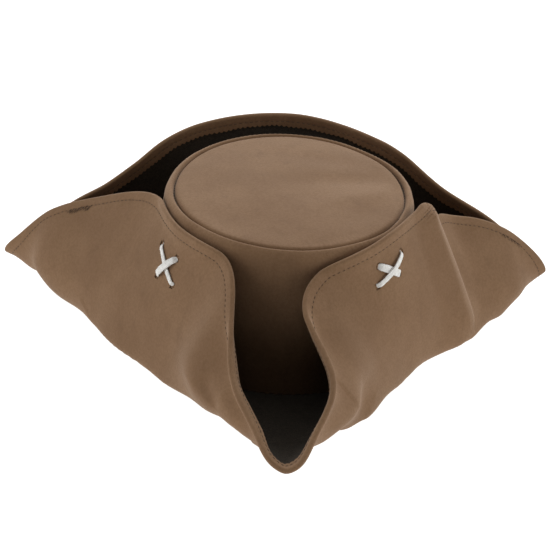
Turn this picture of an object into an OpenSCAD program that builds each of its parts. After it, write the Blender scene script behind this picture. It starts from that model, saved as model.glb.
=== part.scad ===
// Three-cornered hat of brown faux suede: a stiffened brim turned up in three laced flaps
// round an oval crown with a sewn-in tip, a lining and a sweatband.
// Millimetres. +X is the wearer's left, -Y the front, +Z up; z = 0 is the surface the hat rests on.

/* [Head opening] */
// Width of the opening inside the sweatband
head_w = 166; // [140:1:200]
// Length of the opening inside the sweatband
head_l = 200; // [168:1:240]

/* [Crown] */
// Height of the seam round the tip panel
crown_h = 100; // [84:1:122]
// How far the side band leans in from its foot to its shoulder
crown_lean = 5; // [1:0.5:10]
// Width of the rolled shoulder outside the tip seam
shoulder_w = 6; // [4:0.5:10]
// Height of the rolled shoulder
shoulder_h = 7; // [4:0.5:12]
// Rise of the tip panel's middle above its seam
tip_rise = 4; // [1:0.5:10]

/* [Brim] */
// Width of the brim while it is flat
brim_w = 115; // [96:1:138]
// Height at which the brim is sewn to the foot of the crown
brim_z = 4; // [3.5:0.5:8]
// Width of the suede that is turned over the edge and stitched down
hem_w = 8; // [5:0.5:12]
// Gap kept between a leaning flap and the side band
flap_gap = 0.3; // [0.2:0.1:2]

/* [Layers] */
// Thickness of the faux suede
suede_t = 0.8; // [0.5:0.1:1.2]
// Thickness of the stiffener inside the brim
brim_stiff_t = 0.6; // [0.4:0.1:1]
// Thickness of the black felt that faces the brim
felt_t = 1; // [0.6:0.1:1.6]
// Thickness of the buckram inside the crown
crown_stiff_t = 0.8; // [0.4:0.1:1.2]
// Thickness of the lining cloth
lining_t = 0.4; // [0.3:0.1:0.8]
// Air left between two layers
layer_gap = 0.1; // [0.05:0.05:0.2]

/* [Sweatband] */
// Height of the sweatband
band_h = 32; // [22:1:42]
// Thickness of the sweatband
band_t = 1; // [0.6:0.1:1.6]

/* [Laces] */
// Width of a flat lace
lace_w = 4.6; // [3:0.2:7]
// Thickness of a flat lace
lace_t = 1; // [0.8:0.1:1.6]
// Diameter of a punched lace hole
hole_d = 4; // [3:0.2:6]

/* [Stitching] */
// Thickness of the sewing thread
thread_d = 0.6; // [0.4:0.1:1]
// Pitch of the stitches along the brim's hem
hem_pitch = 3.7; // [3:0.1:6]
// Pitch of the stitches round the tip seam
tip_pitch = 3.6; // [3:0.1:6]
// Pitch of the stitches that hold the sweatband and the brim
foot_pitch = 6; // [4:0.5:10]
// Share of its pitch that a stitch covers
stitch_share = 0.68; // [0.5:0.02:0.8]

/* [Fineness] */
// Sections cut across the brim between two stations
ring_steps = 3; // [2:1:4]
// Sections cut across the crown
crown_rings = 60; // [48:4:72]

/* [Hidden] */

suede = "#7d634b";
thread = "#4a382a";
felt = "#1c1917";
buckram = "#cfc6b4";
lining = "#2b2623";
grosgrain = "#17130f";
band_thread = "#3a332c";
lace_white = "#ece9e2";

// The side band's outer oval at its foot, counted out from the head opening through every layer.
band_gap = 2 * layer_gap;
wall_t = band_t + band_gap + lining_t + layer_gap + crown_stiff_t + layer_gap + suede_t;
foot_x = head_w / 2 + wall_t;
foot_y = head_l / 2 + wall_t;
foot_z = brim_z - 1.2;
shoulder_z = crown_h - shoulder_h;
seam_in = crown_lean + shoulder_w;
tuck = 3;

// Faces of the brim's layers, measured from the face between suede and stiffener to the outside.
under_in = layer_gap / 2;
under_out = under_in + suede_t;
stiff_out = -layer_gap / 2;
stiff_in = stiff_out - brim_stiff_t;
felt_out = stiff_in - layer_gap;
felt_in = felt_out - felt_t;
hem_out = felt_in - layer_gap;
hem_in = hem_out - suede_t;
roll_mid = (under_out + hem_in) / 2;
roll_r = (under_out - hem_in) / 2;
roll_in_r = roll_r - suede_t;

// The brim's shape at stations round the crown. Each station has its angle from the front
// (towards +X), then three places counted from the crown's foot as [out, along, up]: the corner
// of the turn-up, the middle of the flap, and the brim's edge. They are for a brim 115 wide.
TABLE_BRIM_W = 115;
STATIONS = [
  // front point, then the flap on the wearer's left with its laced lean and its ridge
  [0,   [44, 2, 8],  [82, 4, 9],    [112, 8, 17]],
  [14,  [48, 0, 9],  [76, -4, 20],  [78, -16, 43]],
  [28,  [30, 0, 5],  [37, -12, 44], [15, -42, 75]],
  [42,  [21, 0, 1],  [12, -18, 54], [-11, -36, 91]],
  [56,  [13, 0, 1],  [9, -6, 54],   [-4, -13, 102]],
  [68,  [18, 0, 1],  [15, 4, 56],   [-1, 3, 104]],
  [76,  [37, 16, 6], [22, 13, 58],  [3, 8, 104]],
  [84,  [45, 10, 7], [35, 22, 49],  [16, 33, 84]],
  [98,  [60, 2, 7],  [74, 12, 32],  [65, 25, 60]],
  // rounded point on the wearer's left, then the back flap
  [112, [46, 0, 7],  [82, -3, 12],  [101, -7, 24]],
  [129, [46, 0, 5],  [70, -10, 25], [72, -27, 48]],
  [146, [26, 0, 2],  [46, -14, 33], [45, -36, 65]],
  [163, [17, 0, 1],  [24, -14, 48], [21, -32, 92]],
  [180, [13, 0, 1],  [17, 0, 56],   [8, 0, 107]],
  [197, [17, 0, 1],  [24, 14, 50],  [22, 32, 97]],
  [214, [26, 0, 2],  [48, 14, 33],  [50, 37, 66]],
  [231, [50, 0, 5],  [72, 10, 24],  [76, 26, 46]],
  // sharp point on the wearer's right, then the flap on that side
  [248, [56, 0, 6],  [84, 4, 7],    [113, 10, 12]],
  [262, [64, 0, 3],  [82, -6, 25],  [77, -21, 52]],
  [276, [46, 0, 1],  [50, -14, 40], [33, -35, 77]],
  [290, [30, 0, 1],  [26, -14, 50], [0, -28, 94]],
  [304, [20, 0, 1],  [12, 0, 52],   [-5, -2, 95]],
  [318, [20, 0, 1],  [14, 12, 48],  [-3, 28, 91]],
  [332, [28, 0, 6],  [40, 10, 36],  [29, 34, 65]],
  [346, [46, 0, 11], [72, 8, 20],   [72, 26, 38]]
];
// How far from the corner of a turn-up its bend begins, as a share of the way to the next place.
fold_share = 0.25;

station_n = len(STATIONS);
brim_rings = station_n * ring_steps;
profile_n = 8;

// ---- ovals and the side band's lean ----

function unit(v) = v / norm(v);
function mix(a, b, f) = a + (b - a) * f;
function oval(a, grow) = [(foot_x + grow) * sin(a), -(foot_y + grow) * cos(a)];
function outward(a) = unit([sin(a) / foot_x, -cos(a) / foot_y]);
function lean_at(z) = crown_lean * pow(max(0, min(1, z / shoulder_z)), 1.5);

// A point on an oval section of the crown: how far in from the foot's oval, and how high.
function on_oval(a, inset, z) = concat(oval(a, -inset), z);

// ---- brim surface ----

// Station angle at any place u, counted in stations.
function turn(u) = let (i = floor(u), a = STATIONS[i % station_n][0],
  b = i % station_n == station_n - 1 ? 360 : STATIONS[(i + 1) % station_n][0]) mix(a, b, u - i);

function place(a, p) = let (k = brim_w / TABLE_BRIM_W, n = outward(a), foot = oval(a, 0))
  concat(foot + n * p.x * k + [-n.y, n.x] * p.y * k, p.z * k);

row_turn = [for (s = STATIONS) place(s[0], s[1])];
row_mid = [for (s = STATIONS) place(s[0], s[2])];
row_edge = [for (s = STATIONS) place(s[0], s[3])];

// A smooth closed curve through a row of points.
function around(row, u) = let (n = len(row), i = floor(u), f = u - i, a = row[(i + n - 1) % n],
  b = row[i % n], c = row[(i + 1) % n], d = row[(i + 2) % n])
  (2 * b + (c - a) * f + (2 * a - 5 * b + 4 * c - d) * f * f + (3 * b - 3 * c + d - a) * f * f * f) / 2;

// A smooth curve that starts at the first corner, ends at the last and rounds the others off.
function rounded(c, v) = let (spans = len(c) - 2, s = min(floor(v * spans), spans - 1), f = v * spans - s,
  a = s == 0 ? c[0] : (c[s] + c[s + 1]) / 2,
  b = s == spans - 1 ? c[s + 2] : (c[s + 1] + c[s + 2]) / 2)
  a * (1 - f) * (1 - f) + 2 * c[s + 1] * f * (1 - f) + b * f * f;

// A flap that would lean into the side band lies against it instead.
function kept_off(p) = let (gap = (flap_gap - hem_in) * max(0, min(1, (p.z - brim_z) / 10)) + layer_gap,
  inset = lean_at(p.z) - gap, q = norm([p.x / (foot_x - inset), p.y / (foot_y - inset)]))
  q < 1 ? [p.x / q, p.y / q, p.z] : p;

function brim_middle(u, v) = let (foot = on_oval(turn(u), -layer_gap, brim_z),
  corner = around(row_turn, u), middle = around(row_mid, u), edge = around(row_edge, u))
  kept_off(rounded([foot, mix(corner, foot, fold_share), corner,
                    mix(corner, middle, fold_share), middle, edge], v));

grid = [for (i = [0:brim_rings - 1]) [for (j = [0:profile_n]) brim_middle(i / ring_steps, j / profile_n)]];
grid_out = [for (i = [0:brim_rings - 1]) [for (j = [0:profile_n])
  unit(cross(grid[(i + 1) % brim_rings][j] - grid[(i + brim_rings - 1) % brim_rings][j],
             grid[i][min(j + 1, profile_n)] - grid[i][max(j - 1, 0)]))]];

// Place on one face of the brim: u round it in stations, v from the foot (0) to the edge (1), and
// how far outside the middle that face is.
function corner_at(i, j, out) = grid[i % brim_rings][j] + grid_out[i % brim_rings][j] * out;
function on_brim(u, v, out) = let (i = floor(u * ring_steps), f = u * ring_steps - i,
  y = min(v, 0.9999) * profile_n, j = floor(y), g = y - j,
  a = corner_at(i, j, out), b = corner_at(i + 1, j, out),
  c = corner_at(i + 1, j + 1, out), d = corner_at(i, j + 1, out))
  f > g ? a + (b - a) * f + (c - b) * g : a + (d - a) * g + (c - d) * f;
function out_at(u, v) = unit(on_brim(u, v, 1) - on_brim(u, v, 0));
function last_span(u) = norm(on_brim(u, 1, 0) - on_brim(u, 1 - 1 / profile_n, 0));
function v_from_edge(u, d) = 1 - d / last_span(u) / profile_n;

// Share v at which the flap reaches a height.
function v_at_height(u, z, lo = 0.45, hi = 0.98, n = 10) = n == 0 ? (lo + hi) / 2 :
  let (m = (lo + hi) / 2, low = on_brim(u, m, 0).z < z)
  v_at_height(u, z, low ? m : lo, low ? hi : m, n - 1);

// ---- solids from sections ----

// Two triangles between neighbouring points of two sections. The last points of a section run back
// towards its start, and their quads are cut along the other diagonal so that layers lie face to face.
function quad(a, b, c, d, back) = back ? [[a, b, d], [b, c, d]] : [[a, b, c], [a, c, d]];

// A closed ring of closed sections, each with the same number of points.
module ring_solid(sections, back) {
  n = len(sections);
  m = len(sections[0]);
  polyhedron(
    points = [for (s = sections) each s],
    faces = [for (i = [0:n - 1], j = [0:m - 1])
      let (next = (i + 1) % n, k = (j + 1) % m)
      each quad(i * m + j, i * m + k, next * m + k, next * m + j, j >= m - back)],
    convexity = 10);
}

// A bar through open sections, closed at both ends.
module bar_solid(sections) {
  n = len(sections);
  m = len(sections[0]);
  polyhedron(
    points = [for (s = sections) each s],
    faces = concat(
      [for (i = [0:n - 2], j = [0:m - 1])
        let (k = (j + 1) % m)
        each quad(i * m + j, i * m + k, (i + 1) * m + k, (i + 1) * m + j, false)],
      [[for (j = [m - 1:-1:0]) j], [for (j = [0:m - 1]) (n - 1) * m + j]]),
    convexity = 6);
}

// An oval ring of the crown from one closed outline of [inset, height] pairs.
module oval_ring(outline) {
  ring_solid([for (i = [0:crown_rings - 1]) [for (p = outline) on_oval(i * 360 / crown_rings, p[0], p[1])]],
             len(outline) / 2);
}

// An oval dish of the crown: its upper and lower outlines run from the rim to the middle as
// [inset, height].
module oval_dish(upper, lower) {
  k = len(upper);
  n = crown_rings;
  loop = concat(upper, [for (i = [k - 1:-1:0]) lower[i]]);
  m = 2 * k;
  top = n * m;
  rim = [for (i = [0:n - 1]) [for (p = loop) on_oval(i * 360 / n, p[0], p[1])]];
  polyhedron(
    points = concat([for (s = rim) each s], [[0, 0, upper[k - 1][1]], [0, 0, lower[k - 1][1]]]),
    faces = concat(
      [for (i = [0:n - 1], j = [0:m - 1]) if (j != k - 1)
        let (next = (i + 1) % n, l = (j + 1) % m)
        each quad(i * m + j, i * m + l, next * m + l, next * m + j, j >= k)],
      [for (i = [0:n - 1]) [i * m + k - 1, top, (i + 1) % n * m + k - 1]],
      [for (i = [0:n - 1]) [i * m + k, (i + 1) % n * m + k, top + 1]]),
    convexity = 6);
}

// One stitch between two places.
module stitch(a, b) {
  d = b - a;
  len = norm(d);
  translate(a) rotate([0, acos(d.z / len), atan2(d.y, d.x)]) cylinder(d = thread_d, h = len, $fn = 16);
}

// ---- crown ----

function shoulder_outline(t, from_z) = concat(
  [for (f = [0, 0.3, 0.6, 0.85, 1]) let (z = mix(from_z, shoulder_z, f)) [lean_at(z) + t, z]],
  [for (a = [30:30:90]) [seam_in - (shoulder_w - t) * cos(a),
                         shoulder_z + (shoulder_h - t) * sin(a)]]);

module crown_side() {
  outer = shoulder_outline(0, foot_z);
  inner = shoulder_outline(suede_t, foot_z);
  lip = [[seam_in + 0.6, crown_h - 0.6], [seam_in + 0.6, crown_h - tuck],
         [seam_in - suede_t + 0.6, crown_h - tuck]];
  color(suede) difference() {
    oval_ring(concat(outer, lip, [for (i = [len(inner) - 2:-1:0]) inner[i]]));
    lace_holes();
  }
}

tip_edge = seam_in + 0.6 + layer_gap;
tip_reach = min(foot_x, foot_y) - tip_edge;
function dome(s) = crown_h + tip_rise * (1 - s * s);

module crown_tip() {
  upper = concat([[tip_edge, crown_h - tuck], [tip_edge, crown_h - 0.6], [tip_edge + 1, crown_h - 0.1]],
                 [for (s = [0.95, 0.8, 0.55, 0.25]) [tip_edge + (1 - s) * tip_reach, dome(s)]]);
  lower = concat([[tip_edge + suede_t, crown_h - tuck], [tip_edge + suede_t, crown_h - 1.2],
                  [tip_edge + 1 + suede_t / 2, crown_h - 0.1 - suede_t]],
                 [for (s = [0.95, 0.8, 0.55, 0.25]) [tip_edge + (1 - s) * tip_reach, dome(s) - suede_t]]);
  color(suede) oval_dish(upper, lower);
}

module crown_tip_stiffener() {
  drop = suede_t + layer_gap;
  shares = [0.93, 0.8, 0.55, 0.25];
  color(buckram) oval_dish(
    [for (s = shares) [tip_edge + (1 - s) * tip_reach, dome(s) - drop]],
    [for (s = shares) [tip_edge + (1 - s) * tip_reach, dome(s) - drop - crown_stiff_t]]);
}

module crown_side_stiffener() {
  t0 = suede_t + layer_gap;
  t1 = t0 + crown_stiff_t;
  heights = [for (f = [0, 0.3, 0.6, 0.85, 0.97]) mix(foot_z, shoulder_z, f)];
  color(buckram) difference() {
    oval_ring(concat([for (z = heights) [lean_at(z) + t0, z]],
                     [for (i = [len(heights) - 1:-1:0]) [lean_at(heights[i]) + t1, heights[i]]]));
    lace_holes();
  }
}

// Stitches round an oval seam.
module oval_stitches(inset, z, pitch, rise = 0) {
  n = round(PI * (foot_x + foot_y - 2 * inset) / pitch);
  for (i = [0:n - 1])
    stitch(on_oval(i * 360 / n, inset, z), on_oval((i + stitch_share) * 360 / n, inset, z + rise));
}

module crown_tip_stitching() {
  z = crown_h - 0.6 + thread_d / 2 + 0.16;
  color(thread) oval_stitches(seam_in + 0.6 + layer_gap / 2, z, tip_pitch);
}

// The side band meets itself at the back, and a row of stitches runs up each side of that seam.
module crown_back_stitching() {
  rows = floor((shoulder_z - foot_z - 20) / tip_pitch);
  color(thread) for (side = [-1, 1], i = [0:rows - 1]) {
    z0 = foot_z + 10 + i * tip_pitch;
    z1 = z0 + tip_pitch * stitch_share;
    a = 180 + side * 1.6;
    lift = thread_d / 2 + 0.12;
    stitch(on_oval(a, lean_at(z0) - lift, z0), on_oval(a, lean_at(z1) - lift, z1));
  }
}

// ---- lining and sweatband ----

lining_foot = wall_t - band_t - band_gap - lining_t;
lining_z = foot_z + 2;
band_z = foot_z - layer_gap - band_t;
lining_top_z = crown_h - 13;
lining_top_in = seam_in + 5;

module lining_side() {
  room = suede_t + crown_stiff_t + 2 * layer_gap + tie_d + knot_d / 2 + 0.6;
  path = [for (p = [[lining_foot, lining_z], [lining_foot, band_z + band_h * 0.5],
                    [lining_foot, band_z + band_h + 1], [room, band_z + band_h + 14],
                    [room, mix(lining_z, lining_top_z, 0.72)],
                    [lining_top_in - 5.5, lining_top_z - 6]]) [lean_at(p[1]) + p[0], p[1]]];
  ends = [lining_top_in, lining_top_z];
  color(lining) oval_ring(concat(path, [ends, ends + [lining_t, 0]],
                                 [for (p = reversed(path)) p + [lining_t, 0]]));
}

module lining_tip() {
  rim = lining_top_in + lining_t + layer_gap;
  upper = [for (s = [1, 0.7, 0.35]) [mix(min(foot_x, foot_y), rim, s), lining_top_z + 2 * (1 - s)]];
  color(lining) oval_dish(upper, [for (p = upper) p - [0, lining_t]]);
}

band_out = wall_t - band_t;

// The band stands inside the opening, and its foot is turned out under the side band.
module sweatband() {
  lip_out = suede_t / 2;
  heights = [band_z + band_t, band_z + band_h * 0.5, band_z + band_h];
  color(grosgrain) oval_ring(concat(
    [[lip_out, band_z + band_t], [lip_out, band_z], [wall_t - 0.5, band_z], [wall_t, band_z + 0.5]],
    [for (z = heights) if (z > heights[0]) [lean_at(z) + wall_t, z]],
    [for (z = reversed(heights)) [lean_at(z) + band_out, z]]));
}

module sweatband_stitching() {
  z = band_z + 3;
  color(band_thread) oval_stitches(wall_t + lean_at(z) + thread_d / 2 + 0.2, z, foot_pitch);
}

// ---- brim ----

// A point of the turn round the edge, at a radius and an angle from the edge's own direction.
function edge_dir(i) = let (n = grid_out[i][profile_n], d = grid[i][profile_n] - grid[i][profile_n - 1])
  unit(d - n * (d * n));
function rolled(i, r, a) = corner_at(i, profile_n, roll_mid + r * sin(a)) + edge_dir(i) * r * cos(a);

// A place on a face of the brim a given way back from its edge.
function back_from_edge(i, back, out) = mix(corner_at(i, profile_n, out), corner_at(i, profile_n - 1, out),
  back / norm(grid[i][profile_n] - grid[i][profile_n - 1]));

// One face of a layer, from the foot to its end, with a line of points where the hem ends.
function face_row(i, out, back) = concat([for (j = [0:profile_n - 1]) corner_at(i, j, out)],
  [back_from_edge(i, hem_w, out), back_from_edge(i, back, out)]);
function reversed(row) = [for (j = [len(row) - 1:-1:0]) row[j]];
face_n = profile_n + 2;

// A flat layer of the brim between two faces. It ends a little way back from the edge.
layer_back = 1;
function layer_section(i, out, in) =
  concat(face_row(i, out, layer_back), reversed(face_row(i, in, layer_back)));

// The suede's section: the outer face, a turn round the edge, and the hem on the inner face.
function under_section(i) = concat(
  [for (j = [0:profile_n]) corner_at(i, j, under_out)],
  [for (a = [45, 0, -45]) rolled(i, roll_r, a)],
  [corner_at(i, profile_n, hem_in), back_from_edge(i, hem_w, hem_in)],
  [back_from_edge(i, hem_w, hem_out), corner_at(i, profile_n, hem_out)],
  [for (a = [-45, 0, 45]) rolled(i, roll_in_r, a)],
  reversed(face_row(i, under_in, 0)));

module brim_under() {
  color(suede) difference() {
    ring_solid([for (i = [0:brim_rings - 1]) under_section(i)], face_n);
    lace_holes();
  }
}

module brim_stiffener() {
  color(buckram) difference() {
    ring_solid([for (i = [0:brim_rings - 1]) layer_section(i, stiff_out, stiff_in)], face_n);
    lace_holes();
  }
}

module brim_upper() {
  color(felt) difference() {
    ring_solid([for (i = [0:brim_rings - 1]) layer_section(i, felt_out, felt_in)], face_n);
    lace_holes();
  }
}

module brim_joint_stitching() {
  n = round(PI * (foot_x + foot_y) / foot_pitch);
  lift = thread_d / 2 + 0.1;
  color(thread) for (i = [0:n - 1])
    stitch(on_oval(i * 360 / n, -lift - 0.2, brim_z - felt_in + lift + 0.5),
           on_oval((i + stitch_share) * 360 / n, -lift - 0.2, brim_z - felt_in + lift + 0.5));
}

stitch_in = 5;

module hem_stitching() {
  lift = under_out + thread_d / 2 + 0.1;
  for_station = [for (s = [0:station_n - 1]) norm(around(row_edge, s + 1) - around(row_edge, s))];
  color(thread) for (s = [0:station_n - 1]) {
    n = max(1, round(for_station[s] / hem_pitch));
    for (k = [0:n - 1]) {
      u0 = s + k / n;
      u1 = s + (k + stitch_share) / n;
      stitch(on_brim(u0, v_from_edge(u0, stitch_in), lift), on_brim(u1, v_from_edge(u1, stitch_in), lift));
    }
  }
}

// Back-tacks where a thread of the hem's seam starts and ends: short stitches across the seam.
module hem_tack(u) {
  lift = under_out + thread_d / 2 + 0.1;
  color(thread) for (k = [0:4]) {
    u0 = u + k * 0.07;
    stitch(on_brim(u0, v_from_edge(u0, stitch_in + 3.5), lift),
           on_brim(u0 + 0.045, v_from_edge(u0 + 0.045, stitch_in + 1.2), lift));
  }
}
module hem_tack_left() { hem_tack(18.55); }
module hem_tack_right() { hem_tack(7.9); }

// ---- laces ----

// The four holes of each lace, two for the upper stroke and two for the lower: place round the brim
// in stations, and height as a share of the crown's. Left and right are a viewer's at the front.
HOLES_LEFT = [[20.93, 0.62], [21.2, 0.77], [20.8, 0.79], [21.31, 0.62]];
HOLES_RIGHT = [[3.6, 0.74], [4.26, 0.89], [3.72, 0.86], [4.1, 0.76]];
HOLES_BACK = [[12.7, 0.62], [13.25, 0.8], [12.78, 0.78], [13.2, 0.61]];
LACES = [HOLES_LEFT, HOLES_RIGHT, HOLES_BACK];

function hole_v(h) = v_at_height(h[0], h[1] * crown_h);
function hole_at(h, out) = on_brim(h[0], hole_v(h), out);

// A lace hole runs straight in, level, towards the crown's axis side.
function hole_dir(h) = let (p = hole_at(h, 0)) unit([p.x / foot_x / foot_x, p.y / foot_y / foot_y, 0]);
// Where the hole's axis crosses the oval that lies a given way inside the side band.
function hole_in(h, inset) = let (p = hole_at(h, 0), d = hole_dir(h),
  a = foot_x - lean_at(p.z) - inset, b = foot_y - lean_at(p.z) - inset,
  qa = d.x * d.x / a / a + d.y * d.y / b / b, qb = -2 * (p.x * d.x / a / a + p.y * d.y / b / b),
  qc = p.x * p.x / a / a + p.y * p.y / b / b - 1)
  p - d * ((-qb - sqrt(max(0, qb * qb - 4 * qa * qc))) / (2 * qa));

module lace_holes() {
  for (l = LACES, h = l) {
    p = hole_at(h, 0) + hole_dir(h) * 6;
    q = hole_in(h, 6);
    d = q - p;
    translate(p) rotate([0, 90, atan2(d.y, d.x)]) cylinder(d = hole_d, h = norm(d), $fn = 24);
  }
}

// A lace's section at one point of its route: flat outside, rolled up where it passes a hole.
LACE_CORNERS = [[-0.5, -0.3], [-0.3, -0.5], [0.3, -0.5], [0.5, -0.3],
                [0.5, 0.3], [0.3, 0.5], [-0.3, 0.5], [-0.5, 0.3]];
function lace_section(p, along, flat_up, w, t) =
  let (side = unit(cross(along, flat_up)), up = cross(side, along))
  [for (c = LACE_CORNERS) p + side * c.x * w + up * c.y * t];

// A round length of lace between two places.
module rolled_lace(p, q, d) {
  run = q - p;
  h = norm(run);
  translate(p) rotate([0, acos(run.z / h), atan2(run.y, run.x)]) cylinder(d = d, h = h, $fn = 16);
}

// One visible stroke of a cross, flat between two holes, with its rise above the flap at the middle.
module lace_stroke(from, to, rise) {
  steps = 6;
  skin = under_out + layer_gap + lace_t / 2;
  along = unit(hole_at(to, 0) - hole_at(from, 0));
  bar_solid([for (k = [0:steps])
    let (f = k / steps, u = mix(from[0], to[0], f), v = mix(hole_v(from), hole_v(to), f),
         flat = min(1, 3 * min(f, 1 - f)))
    lace_section(on_brim(u, v, skin + rise * sin(180 * f)), along, out_at(u, v),
                 mix(leg_d, lace_w, flat), lace_t)]);
}

leg_d = hole_d - 0.6;
tie_d = 2.2;
knot_d = 5;
stroke_rise = 0.6;

// A cross of two strokes. The first stroke lies over the second. Each end of a stroke goes
// straight in through the flap and the side band, and the ends are tied together inside.
module lace(l) {
  skin = under_out + layer_gap + lace_t / 2;
  inside = suede_t + crown_stiff_t + 2 * layer_gap + tie_d;
  color(lace_white) {
    lace_stroke(l[0], l[1], stroke_rise + lace_t + 0.3);
    lace_stroke(l[2], l[3], stroke_rise);
    for (h = l) rolled_lace(hole_at(h, skin), hole_in(h, inside), leg_d);
    rolled_lace(hole_in(l[1], inside), hole_in(l[2], inside), tie_d);
    rolled_lace(hole_in(l[0], inside), hole_in(l[3], inside), tie_d);
    translate((hole_in(l[0], inside) + hole_in(l[3], inside)) / 2)
      rotate([0, 0, 90]) sphere(d = knot_d, $fn = 24);
  }
}
module lace_left() { lace(HOLES_LEFT); }
module lace_right() { lace(HOLES_RIGHT); }
module lace_back() { lace(HOLES_BACK); }

crown_tip();
crown_side();
crown_tip_stiffener();
crown_side_stiffener();
crown_tip_stitching();
crown_back_stitching();
lining_tip();
lining_side();
sweatband();
sweatband_stitching();
brim_under();
brim_stiffener();
brim_upper();
brim_joint_stitching();
hem_stitching();
hem_tack_left();
hem_tack_right();
lace_left();
lace_right();
lace_back();
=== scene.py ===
import logging
import math
from dataclasses import dataclass
from enum import Enum
from typing import Callable, Iterator, Sequence

import bpy
import numpy as np
from mathutils import Matrix, Vector


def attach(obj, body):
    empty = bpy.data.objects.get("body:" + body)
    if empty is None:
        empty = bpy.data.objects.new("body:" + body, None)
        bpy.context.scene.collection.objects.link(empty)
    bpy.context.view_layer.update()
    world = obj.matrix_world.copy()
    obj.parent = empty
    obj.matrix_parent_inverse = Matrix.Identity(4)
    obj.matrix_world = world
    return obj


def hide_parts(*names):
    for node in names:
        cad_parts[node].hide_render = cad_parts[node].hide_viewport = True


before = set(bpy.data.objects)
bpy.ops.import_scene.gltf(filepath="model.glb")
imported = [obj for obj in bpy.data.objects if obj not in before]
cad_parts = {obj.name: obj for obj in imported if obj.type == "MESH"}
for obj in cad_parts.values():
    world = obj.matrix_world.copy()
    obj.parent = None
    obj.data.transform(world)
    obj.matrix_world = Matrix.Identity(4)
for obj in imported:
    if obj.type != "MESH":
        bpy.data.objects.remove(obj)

# The looks of a three-cornered hat of brown faux suede. Lengths are in millimetres until a mesh is
# made, +X is the wearer's left, -Y the front and +Z up, as in the part's source.
MM = 0.001
BODY = "root"
SHARP_DEGREES = 50.0
HEM_PITCH = 3.7
LINING_AIR = 2.2
LINING_DROP = 13
TIP_STITCH_WAVES = 166
SUEDE_ROUND = 598
log = logging.getLogger("pirate_hat")

Number = float | np.ndarray
Waves = Callable[[np.ndarray], tuple[np.ndarray, np.ndarray]]
Socket = bpy.types.NodeSocket


# ---------------------------------------------------------------- small vector helpers

def unit(v: np.ndarray) -> np.ndarray:
    """Returns vectors of length one along the last axis."""
    return v / np.maximum(np.linalg.norm(v, axis=-1, keepdims=True), 1e-9)


def mix(a: Number, b: Number, f: Number) -> Number:
    """Returns the value a share f of the way from a to b."""
    return a + (b - a) * f


def smooth(x: Number) -> Number:
    """Returns x clipped to 0..1 with a soft start and end."""
    x = np.clip(x, 0.0, 1.0)
    return x * x * (3 - 2 * x)


def ripple(points: np.ndarray, wavelength: float, seed: int, waves: int = 7) -> np.ndarray:
    """Returns a soft uneven field of about -1..1 over places in space.

    Args:
        points: places in millimetres, any shape that ends in 3.
        wavelength: typical distance between two crests, in millimetres.
        seed: which field, so that two uses differ.
        waves: how many plane waves are summed.

    Returns:
        The field's value at each place.
    """
    rng = np.random.default_rng(seed)
    total = np.zeros(points.shape[:-1])
    for _ in range(waves):
        way = unit(rng.normal(size=3)) * 2 * math.pi / (wavelength * rng.uniform(0.7, 1.4))
        total += np.sin(points @ way + rng.uniform(0, 2 * math.pi))
    return total / math.sqrt(waves) / 1.2


def cubic(a: Number, b: Number, c: Number, d: Number, f: Number) -> Number:
    """Returns the place a share f of the way from b to c on a smooth curve through four points."""
    return (2 * b + (c - a) * f + (2 * a - 5 * b + 4 * c - d) * f ** 2
            + (3 * b - 3 * c + d - a) * f ** 3) / 2


def flowing(corners: Sequence[tuple[float, float]], count: int) -> np.ndarray:
    """Lays places evenly along a smooth curve.

    Args:
        corners: places the curve goes through.
        count: how many places to lay.

    Returns:
        The places.
    """
    c = np.array(corners, float)
    c = np.concatenate([2 * c[:1] - c[1:2], c, 2 * c[-1:] - c[-2:-1]])
    t = np.linspace(0, len(corners) - 1, count * 8)
    i = np.minimum(t.astype(int), len(corners) - 2)
    curve = cubic(c[i], c[i + 1], c[i + 2], c[i + 3], (t - i)[:, None])
    run = np.concatenate([[0], np.cumsum(np.linalg.norm(np.diff(curve, axis=0), axis=1))])
    want = np.linspace(0, run[-1], count)
    return np.stack([np.interp(want, run, curve[:, k]) for k in range(curve.shape[1])], -1)


# ---------------------------------------------------------------- sizes

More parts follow.
